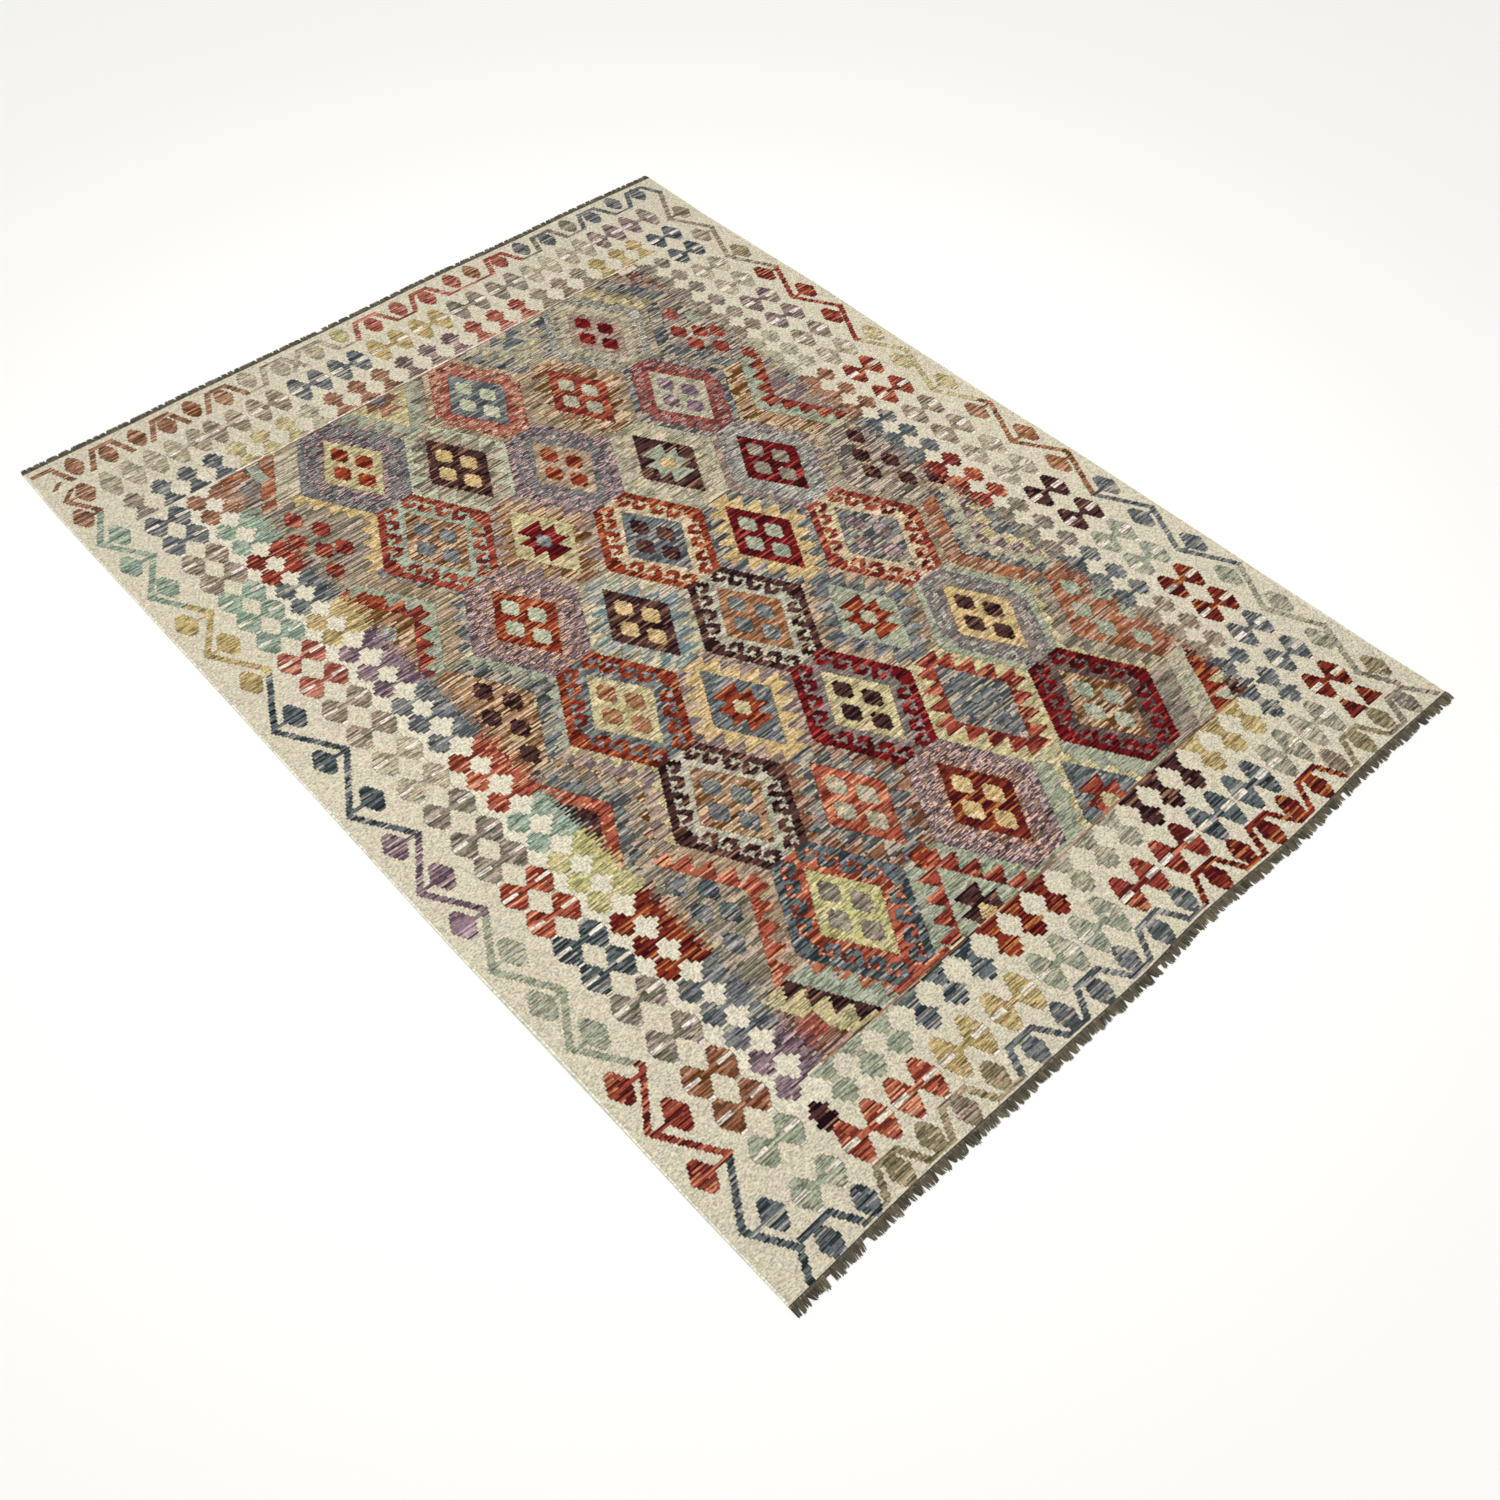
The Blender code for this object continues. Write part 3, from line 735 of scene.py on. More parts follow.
# %% The tents at the two ends
TENT_BUD = taper(5.2, 1.7, 9, plump=1.3)
FAR_TENTS = (
    # left foot, bar from, bar to, right foot, yarn
    (None, -3, 9.5, 15, "brick"), (27.5, 33, 47.5, 52, "brick"), (65, 71.5, 83, 88, "brick"),
    (100, 106.5, 120, 125.7, "brick"), (137, 142.5, 157, 164, "greige"),
    (156, 167, 182, 187.5, "greige"), (200, 206, 222, 228.7, "rose"), (241, 247, 260, 267, "rose"),
    (299, 303, 316.5, 322, "rose"), (335.4, 339, 354, 358.7, "umber"),
    (371.5, 377.5, 392, 398, "slate"), (410.5, 418, 431, None, "slate"),
)
FAR_TENT_BUDS = (
    (20.5, 12.5, "brick"), (40, 15.5, "brick"), (59, 13.5, "brick"), (77, 15.5, "brick"),
    (94.5, 13, "clay"), (113, 15.5, "brick"), (131, 11, "greige"), (150.8, 15, "greige"),
    (174, 15, "greige"), (193.3, 10.5, "straw"), (214.3, 15, "rose"), (234.5, 12, "rose"),
    (254, 15, "rose"), (274.8, 11.5, "rose"), (289.7, 11.5, "clay"), (309.3, 13, "rose"),
    (328, 11, "slate"), (346.6, 14, "slate"), (365.3, 11, "umber"), (384, 14, "slate"),
    (404.5, 10.5, "slate"), (423.7, 12, "slate"),
)
FAR_FEET_BARS = ((126, 137, "greige"), (187, 200, "greige"), (228, 241.5, "rose"),
                 (267, 299, "rose"), (322, 335.4, "umber"), (358.7, 371.5, "umber"),
                 (398, 410.5, "slate"))
NEAR_TENTS = (
    (None, 15, 33, 40, "navy"), (51.5, 57.5, 70.5, 77, "olive"), (89, 94.5, 110, 116, "olive"),
    (130, 134.5, 150.5, 159, "slate"), (170, 177.5, 192.5, 201, "slate"),
    (212, 219.5, 235, 242, "slate"), (253, 260.5, 276, 283, "oxide"),
    (295, 299.5, 314.5, 322.5, "oxide"), (331, 338.5, 354.5, 360.5, "oxide"),
    (369.6, 377, 391, 398.2, "olive"), (410, 416.3, 429.4, 439, "umber"),
)
NEAR_TENT_BUDS = (
    (24, 597, "navy"), (46, 594.5, "navy"), (64.5, 595.5, "olive"), (83.5, 593.5, "olive"),
    (102.5, 595.5, "taupe"), (122.5, 593, "olive"), (143.5, 595.5, "slate"),
    (164.5, 593.5, "slate"), (184.5, 595.5, "slate"), (205.5, 593.5, "slate"),
    (227, 595.5, "slate"), (248, 593, "slate"),
    (268.5, 595.5, "oxide"), (288, 593, "oxide"), (307, 595.5, "oxide"), (325.5, 593, "oxide"),
    (345.5, 595.5, "oxide"), (364, 592, "taupe"), (384, 594, "olive"), (403.3, 592, "olive"),
    (422.3, 594.5, "umber"),
)
NEAR_FEET_BARS = ((40, 51.5, "umber"), (76, 90, "olive"), (116, 130, "olive"), (159, 170, "slate"),
                  (201, 212, "slate"), (242, 253, "slate"), (283, 295, "oxide"),
                  (322.5, 331, "oxide"), (360.5, 369.6, "olive"), (398.2, 410, "umber"))
print("tents at the two ends:", len(FAR_TENTS) + len(NEAR_TENTS))


# %% How a row of tents is laid
BAR_ROWS = 3
LEG_INSET = 1.5


def lay_tents(tents, buds, bars, top, foot):
    """Flat-topped tents from the row of their bars to the row of their feet."""
    for left_foot, bar_left, bar_right, right_foot, yarn in tents:
        lay_block(bar_left, bar_right, top, top + BAR_ROWS, yarn)
        for foot_x, bar_x in ((left_foot, bar_left + LEG_INSET),
                              (right_foot, bar_right - LEG_INSET)):
            if foot_x is not None:
                for r in range(top, foot + 1):
                    x = bar_x + round((foot_x - bar_x) * (r - top) / (foot - top))
                    lay(r, x - BAND_HALF, x + BAND_HALF, yarn)
    for left, right, yarn in bars:
        lay_block(left, right, foot - 1, foot + 1, yarn)
    for x, y, yarn in buds:
        lay_around(x, row_at(x, y), TENT_BUD, yarn)


lay_tents(FAR_TENTS, FAR_TENT_BUDS, FAR_FEET_BARS, top=4, foot=21)
lay_tents(NEAR_TENTS, NEAR_TENT_BUDS, NEAR_FEET_BARS, top=583, foot=598)
lay_block(LEFT_STEP, LEFT_STEP + 1, 0, ROWS, "selvedge")
lay_block(RIGHT_STEP - 1, RIGHT_STEP, 0, ROWS, "selvedge")
runs = int((chart[:, 1:] != chart[:, :-1]).sum()) + ROWS
print("runs of yarn in the chart:", runs)

# %% [markdown]
# ## Weaving the chart into a mesh
#
# The cloth could be a flat slab with a picture on it, but a picture has no true edges, and this
# script may not read one. Instead each run of one yarn becomes a face of the mesh, so the stepped
# edges are real edges. Runs that lie exactly under each other join into one face, which keeps the
# mesh small. Every corner of a run is also put into the sides of its neighbours, so the sheet is
# closed. The underside is woven from the same chart with fewer and coarser runs.

# %% Runs of yarn as faces on the grid
# a corner of the grid as one number is its row times this, plus its column
LINE = 2048


def find_patches(grid, tallest, columns_cut, end_rows, end_step):
    """Rectangles of one yarn: (first column, last column, first row, last row, yarn)."""
    patches, open_runs = [], {}
    tall, wide = grid.shape
    for row in range(tall + 1):
        found = {}
        if row < tall:
            changes = set((np.flatnonzero(np.diff(grid[row])) + 1).tolist()) | set(columns_cut)
            if min(row, tall - 1 - row) < end_rows:
                changes |= set(range(end_step, wide, end_step))
            stops = sorted(changes | {0, wide})
            for first, last in zip(stops, stops[1:]):
                found[(first, last, int(grid[row, first]))] = row
        cut = row in (end_rows, tall - end_rows)
        for run, start in open_runs.items():
            if run in found and row - start < tallest and not cut:
                found[run] = start
            else:
                patches.append((run[0], run[1], start, row, run[2]))
        open_runs = found
    return patches


def patch_loops(patches):
    """Each patch as the ring of grid corners around it, with its neighbours' corners put in."""
    corners = sorted({column + LINE * row for first, last, top, bottom, _ in patches
                      for column in (first, last) for row in (top, bottom)})
    by_row, by_column = {}, {}
    for corner in corners:
        by_row.setdefault(corner // LINE, []).append(corner % LINE)
        by_column.setdefault(corner % LINE, []).append(corner // LINE)
    by_row = {key: np.array(values) for key, values in by_row.items()}
    by_column = {key: np.array(sorted(values)) for key, values in by_column.items()}

    def between(values, low, high):
        first, last = np.searchsorted(values, (low, high))
        return values[first:last].tolist()

    loops = []
    for first, last, top, bottom, _ in patches:
        ring = [(c, bottom) for c in between(by_row[bottom], first, last)]
        ring += [(last, r) for r in reversed(between(by_column[last], top + 1, bottom + 1))]
        ring += [(c, top) for c in reversed(between(by_row[top], first + 1, last + 1))]
        ring += [(first, r) for r in between(by_column[first], top, bottom)]
        loops.append(ring)
    return loops


# the selvedge is rounded over four warps, and each end over its last two rows
CORD_WARPS = 4
END_ROWS = 2
EDGE_CUTS = (1, 2, CORD_WARPS, COLUMNS - CORD_WARPS, COLUMNS - 2, COLUMNS - 1)
top_patches = find_patches(chart, tallest=8, columns_cut=EDGE_CUTS, end_rows=END_ROWS, end_step=16)
top_loops = patch_loops(top_patches)
print("faces on top:", len(top_patches), "triangles:", sum(len(ring) - 2 for ring in top_loops))

# %% [markdown]
# Now the flat grid is laid onto the real outline. The edges of the cloth wander by up to 16 mm, so
# the grid is pulled in along its rim by the same tables as in the solids, and the pull fades out
# over the borders. The face lifts and falls by a quarter of a millimetre, and each selvedge is a
# cord a little thicker than the cloth.

# %% From the grid to the rug
def read_table(table, shares):
    """Smooth values between the rows of a table of shares and values, for an array of shares."""
    stops, values = np.array(table).T
    left = np.clip(np.searchsorted(stops, shares, side="right") - 1, 0, len(stops) - 2)
    part = np.clip((shares - stops[left]) / (stops[left + 1] - stops[left]), 0, 1)
    ease = part * part * (3 - 2 * part)
    return values[left] + (values[left + 1] - values[left]) * ease


FADE_ACROSS = 0.17
FADE_ALONG = 0.12


def on_cloth(columns, rows):
    """X and Y of places on the grid, for arrays of columns and rows."""
    across = columns / COLUMNS
    down = place_of(LEFT_STEP + columns / WARPS_PER_STEP, rows)
    along = (down - LIE[0][1]) / (LIE[-1][1] - LIE[0][1])
    x = (across - 0.5) * CLOTH_WIDTH
    x = x + read_table(LEFT_INSET, along) * np.clip(1 - across / FADE_ACROSS, 0, 1)
    x = x - read_table(RIGHT_INSET, along) * np.clip(1 - (1 - across) / FADE_ACROSS, 0, 1)
    y = CLOTH_FAR_Y - along * CLOTH_LENGTH
    y = y - read_table(FAR_INSET, across) * np.clip(1 - along / FADE_ALONG, 0, 1)
    y = y + read_table(NEAR_INSET, across) * np.clip(1 - (1 - along) / FADE_ALONG, 0, 1)
    return x, y


def top_height(columns, rows, x, y):
    """The face's height: flat but for two long ripples, the corded selvedges and the thin ends."""
    ripples = sum(strength * np.sin(a * x + b * y + phase) for strength, a, b, phase in COCKLES)
    face = CLOTH_THICK - COCKLE_HEIGHT * (0.5 + ripples)
    inward = np.minimum(columns, COLUMNS - columns)
    rim = np.interp(inward, (0, 1, 2, CORD_WARPS),
                    (SELVEDGE_LIP, SELVEDGE_SHOULDER, SELVEDGE_THICK, CLOTH_THICK))
    height = np.where(inward < CORD_WARPS, rim, face)
    end = np.minimum(rows, ROWS - rows)
    end_height = END_THICK + (CLOTH_THICK - END_THICK) * end / END_ROWS
    return np.where(end < END_ROWS, np.minimum(height, end_height), height)


corner_x, corner_y = on_cloth(np.array([0, COLUMNS, 0, COLUMNS]), np.array([0, 0, ROWS, ROWS]))
print("cloth corners:", np.round(corner_x, 4).tolist(), np.round(corner_y, 4).tolist())

# %% The underside's coarser patches, and the closed mesh
BACK_SCALE = 4
back_grid = chart[1::BACK_SCALE, 1::BACK_SCALE]
back_patches = find_patches(back_grid, tallest=4, columns_cut=(), end_rows=1, end_step=8)
back_loops = [[(c * BACK_SCALE, r * BACK_SCALE) for c, r in ring]
              for ring in patch_loops(back_patches)]


def wall_rings(top_rim, back_rim):
    """Faces down one rim, from each corner that both sides share to the next."""
    shared = sorted(set(top_rim) & set(back_rim))
    rings = []
    for start, stop in zip(shared, shared[1:]):
        upper = [top_rim[k] for k in sorted(top_rim) if start <= k <= stop]
        lower = [back_rim[k] for k in sorted(back_rim) if start <= k <= stop]
        rings.append(upper + lower[::-1])
    return rings


def weave_cloth():
    """The closed cloth: patches on top, coarser patches below, and a wall around the rim."""
    top_index, back_index = {}, {}
    for rings, index in ((top_loops, top_index), (back_loops, back_index)):
        for ring in rings:
            for corner in ring:
                index.setdefault(corner, len(index))
    shift = len(top_index)
    faces = [[top_index[c] for c in ring] for ring in top_loops]
    faces += [[shift + back_index[c] for c in reversed(ring)] for ring in back_loops]
    yarns = [patch[4] for patch in top_patches] + [patch[4] for patch in back_patches]
    # the wall's left, right, far and near sides
    for axis, fixed, turn in ((0, 0, False), (0, COLUMNS, True), (1, 0, True), (1, ROWS, False)):
        top_rim = {c[1 - axis]: i for c, i in top_index.items() if c[axis] == fixed}
        back_rim = {c[1 - axis]: shift + i for c, i in back_index.items() if c[axis] == fixed}
        for ring in wall_rings(top_rim, back_rim):
            faces.append(ring[::-1] if turn else ring)
            yarns.append(YARN_NAMES.index("selvedge"))
    columns, rows = np.array(list(top_index) + list(back_index), dtype=float).T
    x, y = on_cloth(columns, rows)
    z = top_height(columns, rows, x, y)
    z[shift:] = 0.0
    mesh = bpy.data.meshes.new("kilim_weave")
    mesh.from_pydata(np.stack([x, y, z], 1).tolist(), [], faces)
    return mesh, columns, rows, shift, np.array(yarns)


weave, grid_columns, grid_rows, first_back, face_yarns = weave_cloth()
weave.validate()
triangles = sum(len(face.vertices) - 2 for face in weave.polygons)
print("cloth faces:", len(weave.polygons), "triangles:", triangles)

# %% [markdown]
# Each face must know its yarn. The shades of the yarn go onto the faces as attributes, and the
# weave's own coordinates, in warps and rows, go into a UV map, so that the streaks of the wool
# follow the rows even where they climb. A second UV map says how far a place is from the slits to
# its left and right, and a third spreads both sides of the cloth flat for anyone who bakes the look
# into a picture.

# %% Yarn shades on the faces
def to_linear(code):
    """An sRGB colour code as linear red, green, blue."""
    parts = [int(code[i:i + 2], 16) / 255 for i in (0, 2, 4)]
    return [p / 12.92 if p <= 0.04045 else ((p + 0.055) / 1.055) ** 2.4 for p in parts]


def put_on_faces(mesh, name, kind, values):
    layer = mesh.attributes.new(name, kind, "FACE")
    layer.data.foreach_set("color" if kind == "FLOAT_COLOR" else "value", np.ravel(values))


shades = np.array([[to_linear(code) + [1.0] for code in YARNS[name][:3]] for name in YARN_NAMES])
spin = np.array([(YARNS[name][3], YARNS[name][4], YARNS[name][5] / WARP_PITCH, YARNS[name][6])
                 for name in YARN_NAMES])
for i, name in enumerate(("main_shade", "second_shade", "third_shade")):
    put_on_faces(weave, name, "FLOAT_COLOR", shades[face_yarns, i])
put_on_faces(weave, "spin", "FLOAT_COLOR", spin[face_yarns])
put_on_faces(weave, "hank", "FLOAT", face_yarns.astype(float))
print("yarns on the cloth:", len(set(face_yarns.tolist())))

# %% The weave's own coordinates
loop_corners = np.empty(len(weave.loops), dtype=np.int32)
weave.loops.foreach_get("vertex_index", loop_corners)
weave_map = weave.uv_layers.new(name="weave")
weave_map.data.foreach_set("uv", np.stack([grid_columns, grid_rows], 1)[loop_corners].ravel())
print("face corners with a warp and a row:", len(loop_corners))


# %% Where the slits are
FAR_OFF = 99


def slit_sides(patches, grid, scale):
    """The columns of each patch's left and right slits; a side without one lies far off."""
    sides = []
    for first, last, top, _, yarn in patches:
        left, right = first * scale, last * scale
        open_left = left > 2 and grid[top, first - 1] != yarn
        open_right = right < COLUMNS - 2 and grid[top, last] != yarn
        sides.append((left if open_left else -FAR_OFF, right if open_right else COLUMNS + FAR_OFF))
    return sides


sides = slit_sides(top_patches, chart, 1) + slit_sides(back_patches, back_grid, BACK_SCALE)
sides += [(-FAR_OFF, COLUMNS + FAR_OFF)] * (len(weave.polygons) - len(sides))
face_sizes = np.empty(len(weave.polygons), dtype=np.int32)
weave.polygons.foreach_get("loop_total", face_sizes)
left_slit, right_slit = np.repeat(np.array(sides, dtype=float), face_sizes, axis=0).T
loop_columns = grid_columns[loop_corners]
to_slits = np.stack([loop_columns - left_slit, right_slit - loop_columns], 1)
slit_map = weave.uv_layers.new(name="slit")
slit_map.data.foreach_set("uv", to_slits.ravel())
print("slits to the left of", int((abs(np.array(sides)[:, 0]) != FAR_OFF).sum()), "faces")

# %% The flat map for baking: the face large, and the back small to its right
MAP_MARGIN = 0.004
FACE_METRES = 2.93
BACK_METRES = 8.6
BACK_LEFT = 0.745
# the wall stands just outside the face's rim, and its two sides lie beyond this X
WALL_SHARE = 0.001
SIDE_X = 1.03
loop_back = np.zeros(len(weave.loops), dtype=bool)
for face in weave.polygons:
    if all(v >= first_back for v in face.vertices):
        loop_back[face.loop_start:face.loop_start + face.loop_total] = True
spots = np.empty(len(weave.vertices) * 3)
weave.vertices.foreach_get("co", spots)
spots = spots.reshape(-1, 3)
from_left, from_near = spots[:, 0] + CLOTH_WIDTH / 2, spots[:, 1] - CLOTH_NEAR_Y
rim = np.arange(len(spots)) >= first_back
side = np.where(spots[:, 0] < -SIDE_X, -1, np.where(spots[:, 0] > SIDE_X, 1, 0))
end = np.where(side == 0, np.sign(spots[:, 1]), 0)
wall_u = MAP_MARGIN + from_left / FACE_METRES + side * WALL_SHARE * rim
wall_v = MAP_MARGIN + from_near / FACE_METRES + end * WALL_SHARE * rim
back_u = BACK_LEFT + from_left / BACK_METRES
back_v = MAP_MARGIN + from_near / BACK_METRES
bake_u = np.where(loop_back, back_u[loop_corners], wall_u[loop_corners])
bake_v = np.where(loop_back, back_v[loop_corners], wall_v[loop_corners])
flat_map = weave.uv_layers.new(name="OFBake")
flat_map.data.foreach_set("uv", np.stack([bake_u, bake_v], 1).ravel())
print("both sides of the cloth lie apart on the flat map")

# %% [markdown]
# ## The look of the woven wool
#
# Seen close, a weft-faced cloth is rows of small beads: each weft shows where it passes over a
# warp, and the next row shows on the warps between. The valleys between the beads are painted
# darker: partly painted shade, and partly the dark warps that show a little there. Seen from a few
# steps away, the streaks of the hand-dyed yarn are what the eye gets. The material picks one of a
# yarn's three shades for each row and each dash along it.

# %% A helper that adds a node and links it
def give(tree, node, inputs):
    """Gives inputs of a node, by name or in their order, a value or a link.

    A link is another node's output, or the node itself for its first output."""
    for key, value in inputs.items() if isinstance(inputs, dict) else enumerate(inputs):
        if isinstance(value, bpy.types.Node):
            value = value.outputs[0]
        if isinstance(value, bpy.types.NodeSocket):
            tree.links.new(value, node.inputs[key])
        else:
            node.inputs[key].default_value = value


def add_node(tree, kind, inputs=(), **settings):
    """Adds a node with its settings and links. A kind in capitals is a sum, by its name."""
    is_sum = kind.isupper()
    node = tree.nodes.new("ShaderNodeMath" if is_sum else kind)
    if is_sum:
        node.operation = kind
    for name, value in settings.items():
        setattr(node, name, value)
    give(tree, node, inputs)
    return node


def new_material(name):
    """A new material, its tree and the shader that the tree starts with."""
    material = bpy.data.materials.new(name)
    material.use_nodes = True
    tree = material.node_tree
    return material, tree, tree.nodes["Principled BSDF"]


LUCK = "ShaderNodeTexWhiteNoise"
JOIN = "ShaderNodeCombineXYZ"
VECTOR = "ShaderNodeVectorMath"
print("random numbers come from", LUCK)

# %% [markdown]
# The tree starts from the weave's own coordinates. One random number picks where the dashes of a
# row begin, and one for each dash picks its shade. Hanks that lie in clouds, such as the cream of
# the ground, take their shade from a soft noise that is long along the weft instead.

# %% Hand-spun wool weft: a shade for every dash
wool, tree, shader = new_material("weft_faced_wool")
place = add_node(tree, "ShaderNodeUVMap", uv_map="weave")
warp, pick, _ = add_node(tree, "ShaderNodeSeparateXYZ", (place,)).outputs
spin_read = add_node(tree, "ShaderNodeAttribute", attribute_name="spin")
spin_split = add_node(tree, "ShaderNodeSeparateXYZ", (spin_read.outputs["Vector"],))
second_share, third_share, dash = spin_split.outputs
clouds = spin_read.outputs["Alpha"]
hank = add_node(tree, "ShaderNodeAttribute", attribute_name="hank").outputs["Fac"]

# each row's dashes start at a place of their own and have a length of their own
# a speckled yarn's dashes are under ten warps long, and only half a row tall
SPECKLE_WARPS = 10.0
speckled = add_node(tree, "LESS_THAN", (dash, SPECKLE_WARPS))
per_row = add_node(tree, "ADD", (speckled, 1.0))
pick_place = add_node(tree, "MULTIPLY", (pick, per_row))
row = add_node(tree, "FLOOR", (pick_place,))
row_key = add_node(tree, JOIN, (row, hank))
row_luck = add_node(tree, LUCK, {"Vector": row_key}, noise_dimensions="2D")
stretch = add_node(tree, "MULTIPLY_ADD", (row_luck, 0.9, 0.55))
row_dash = add_node(tree, "MULTIPLY", (dash, stretch))
row_warp = add_node(tree, "DIVIDE", (warp, row_dash))
dash_place = add_node(tree, "MULTIPLY_ADD", (row_luck, 37.0, row_warp))
dash_number = add_node(tree, "FLOOR", (dash_place,))
dash_key = add_node(tree, JOIN, (dash_number, row, hank))
dash_luck = add_node(tree, LUCK, {"Vector": dash_key}, noise_dimensions="3D")

print("nodes that place the dashes:", len(tree.nodes))

# %% The shade that each dash gets
# clouds are about 50 mm long and 20 mm tall
cloud_along = add_node(tree, "MULTIPLY", (warp, 0.045))
cloud_down = add_node(tree, "MULTIPLY", (pick, 0.24))
cloud_place = add_node(tree, JOIN, (cloud_along, cloud_down, hank))
cloud = add_node(tree, "ShaderNodeTexNoise", {"Vector": cloud_place, "Scale": 1.0, "Detail": 3.0,
                                             "Roughness": 0.6})
spread_cloud = add_node(tree, "MULTIPLY_ADD", (cloud, 2.4, -0.7))
chance = add_node(tree, "ShaderNodeMix",
                  {0: clouds, 2: dash_luck.outputs["Value"], 3: spread_cloud})

# the chance picks the shade, with a soft change where the shades lie in clouds
soft = add_node(tree, "MULTIPLY_ADD", (clouds, 0.20, 0.02))
third_edge = add_node(tree, "SUBTRACT", (1.0, third_share))
colour = add_node(tree, "ShaderNodeAttribute", attribute_name="second_shade").outputs["Color"]
for name, edge in (("main_shade", second_share), ("third_shade", third_edge)):
    low = add_node(tree, "SUBTRACT", (edge, soft))
    high = add_node(tree, "ADD", (edge, soft))
    passed = add_node(tree, "ShaderNodeMapRange",
                      {"Value": chance, "From Min": low, "From Max": high})
    next_shade = add_node(tree, "ShaderNodeAttribute", attribute_name=name).outputs["Color"]
    colour = add_node(tree, "ShaderNodeMix", {0: passed, 6: colour, 7: next_shade},
                      data_type="RGBA").outputs[2]

# each dash also swings a little in hue, and less so in a hank that lies in clouds
hue_swing = add_node(tree, VECTOR, operation="MULTIPLY_ADD", inputs=(
    dash_luck.outputs["Color"], (0.20, 0.16, 0.22), (-0.10, -0.08, -0.11)))
calm = add_node(tree, "MULTIPLY_ADD", (clouds, -1.1, 1.0))
calm_swing = add_node(tree, VECTOR, {0: hue_swing, "Scale": calm}, operation="SCALE")
tint = add_node(tree, VECTOR, (calm_swing, (1.0, 1.0, 1.0)), operation="ADD")
tinted = add_node(tree, VECTOR, (colour, tint), operation="MULTIPLY")
print("and with their shades:", len(tree.nodes))

# %% [markdown]
# Three things then darken the wool here and there: painted shade in thin lines where two passes
# of weft don't quite meet, the fuzz and slubs of hand-spun yarn, and painted shade in the valleys
# between the beads, where the dark warps also show a little. Real beads are 2.4 mm wide and about
# 3 mm tall, and they are drawn at that size.

# %% Painted shade lines between passes of weft
LINE_CHANCE = 0.27
line_row = add_node(tree, "MULTIPLY", (pick, 2.0))
line_number = add_node(tree, "FLOOR", (line_row,))
line_start = add_node(tree, "MULTIPLY", (line_number, 7.31))
# painted shade lines are about 50 mm long in plain yarns, and as short as two beads where shades
# lie in clouds
line_scale = add_node(tree, "MULTIPLY_ADD", (clouds, 0.64, 0.045))
line_place = add_node(tree, "MULTIPLY_ADD", (warp, line_scale, line_start))
line_part = add_node(tree, "FLOOR", (line_place,))
line_key = add_node(tree, JOIN, (line_part, line_number, hank))
line_luck = add_node(tree, LUCK, {"Vector": line_key}, noise_dimensions="3D")
is_line = add_node(tree, "LESS_THAN", (line_luck, LINE_CHANCE))
# how deep the painted shade of a line goes, less where shades lie in clouds
gap_shade_depth = add_node(tree, "MULTIPLY_ADD", (clouds, -0.56, 0.74))
painted_gap_shade = add_node(tree, "MULTIPLY", (is_line, gap_shade_depth))
line_base = add_node(tree, "MULTIPLY_ADD", (gap_shade_depth, LINE_CHANCE, 1.0))
line = add_node(tree, "SUBTRACT", (line_base, painted_gap_shade))
print("share of the wefts that are lined:", LINE_CHANCE)

# %% Grain, fuzz and beads
# each bead takes the light its own way; the grain is drawn two warps wide, so that it can be seen
grain_warp = add_node(tree, "MULTIPLY", (warp, 0.5))
grain_part = add_node(tree, "FLOOR", (grain_warp,))
grain_key = add_node(tree, JOIN, (grain_part, line_number))
grain_luck = add_node(tree, LUCK, {"Vector": grain_key}, noise_dimensions="2D")
# a hank that lies in clouds is spun more evenly, so its beads differ less
grain_swing = add_node(tree, "MULTIPLY_ADD", (clouds, -0.30, 0.60))
grain_base = add_node(tree, "MULTIPLY_ADD", (grain_swing, -0.5, 1.0))
grain = add_node(tree, "MULTIPLY_ADD", (grain_luck, grain_swing, grain_base))

object_place = add_node(tree, "ShaderNodeTexCoord").outputs["Object"]
fuzz = add_node(tree, "ShaderNodeTexNoise", {"Vector": object_place, "Scale": 420.0, "Detail": 2.0})
slub = add_node(tree, "ShaderNodeTexNoise", {"Vector": object_place, "Scale": 95.0, "Detail": 2.0})
fuzz_part = add_node(tree, "MULTIPLY_ADD", (fuzz, 0.30, 0.68))
fuzz_swing = add_node(tree, "MULTIPLY_ADD", (slub, 0.34, fuzz_part))

# every second weft shows on a warp, and the next warp shows the ones between
WEFTS_PER_ROW = 3
warp_number = add_node(tree, "FLOOR", (warp,))
odd = add_node(tree, "MODULO", (warp_number, 2.0))
shift = add_node(tree, "MULTIPLY", (odd, 0.5))
bead_place = add_node(tree, "MULTIPLY_ADD", (pick, WEFTS_PER_ROW / 2, shift))
rises = []
for place in (warp, bead_place):
    turn = add_node(tree, "MULTIPLY", (place, math.pi))
    wave = add_node(tree, "SINE", (turn,))
    rises.append(add_node(tree, "ABSOLUTE", (wave,)))
round_bead = add_node(tree, "MULTIPLY", (rises[0], rises[1]))
bead = add_node(tree, "POWER", (round_bead, 0.55))
# the valleys between the beads get painted shade, where the dark warps also show a little
valley_shade = add_node(tree, "MULTIPLY_ADD", (bead, 0.34, 0.58))
print("beads on each warp, in a row:", WEFTS_PER_ROW / 2)

# %% Slits between yarns, and the finished wool
# where two yarns meet at a warp, each turns back, and the slit between them is in shadow
slit_place = add_node(tree, "ShaderNodeUVMap", uv_map="slit")
from_left, from_right, _ = add_node(tree, "ShaderNodeSeparateXYZ", (slit_place,)).outputs
from_slit = add_node(tree, "MINIMUM", (from_left, from_right))
slit = add_node(tree, "ShaderNodeMapRange", {"Value": from_slit, "From Min": 0.12, "From Max": 0.42,
                                             "To Min": 0.30, "To Max": 1.0})
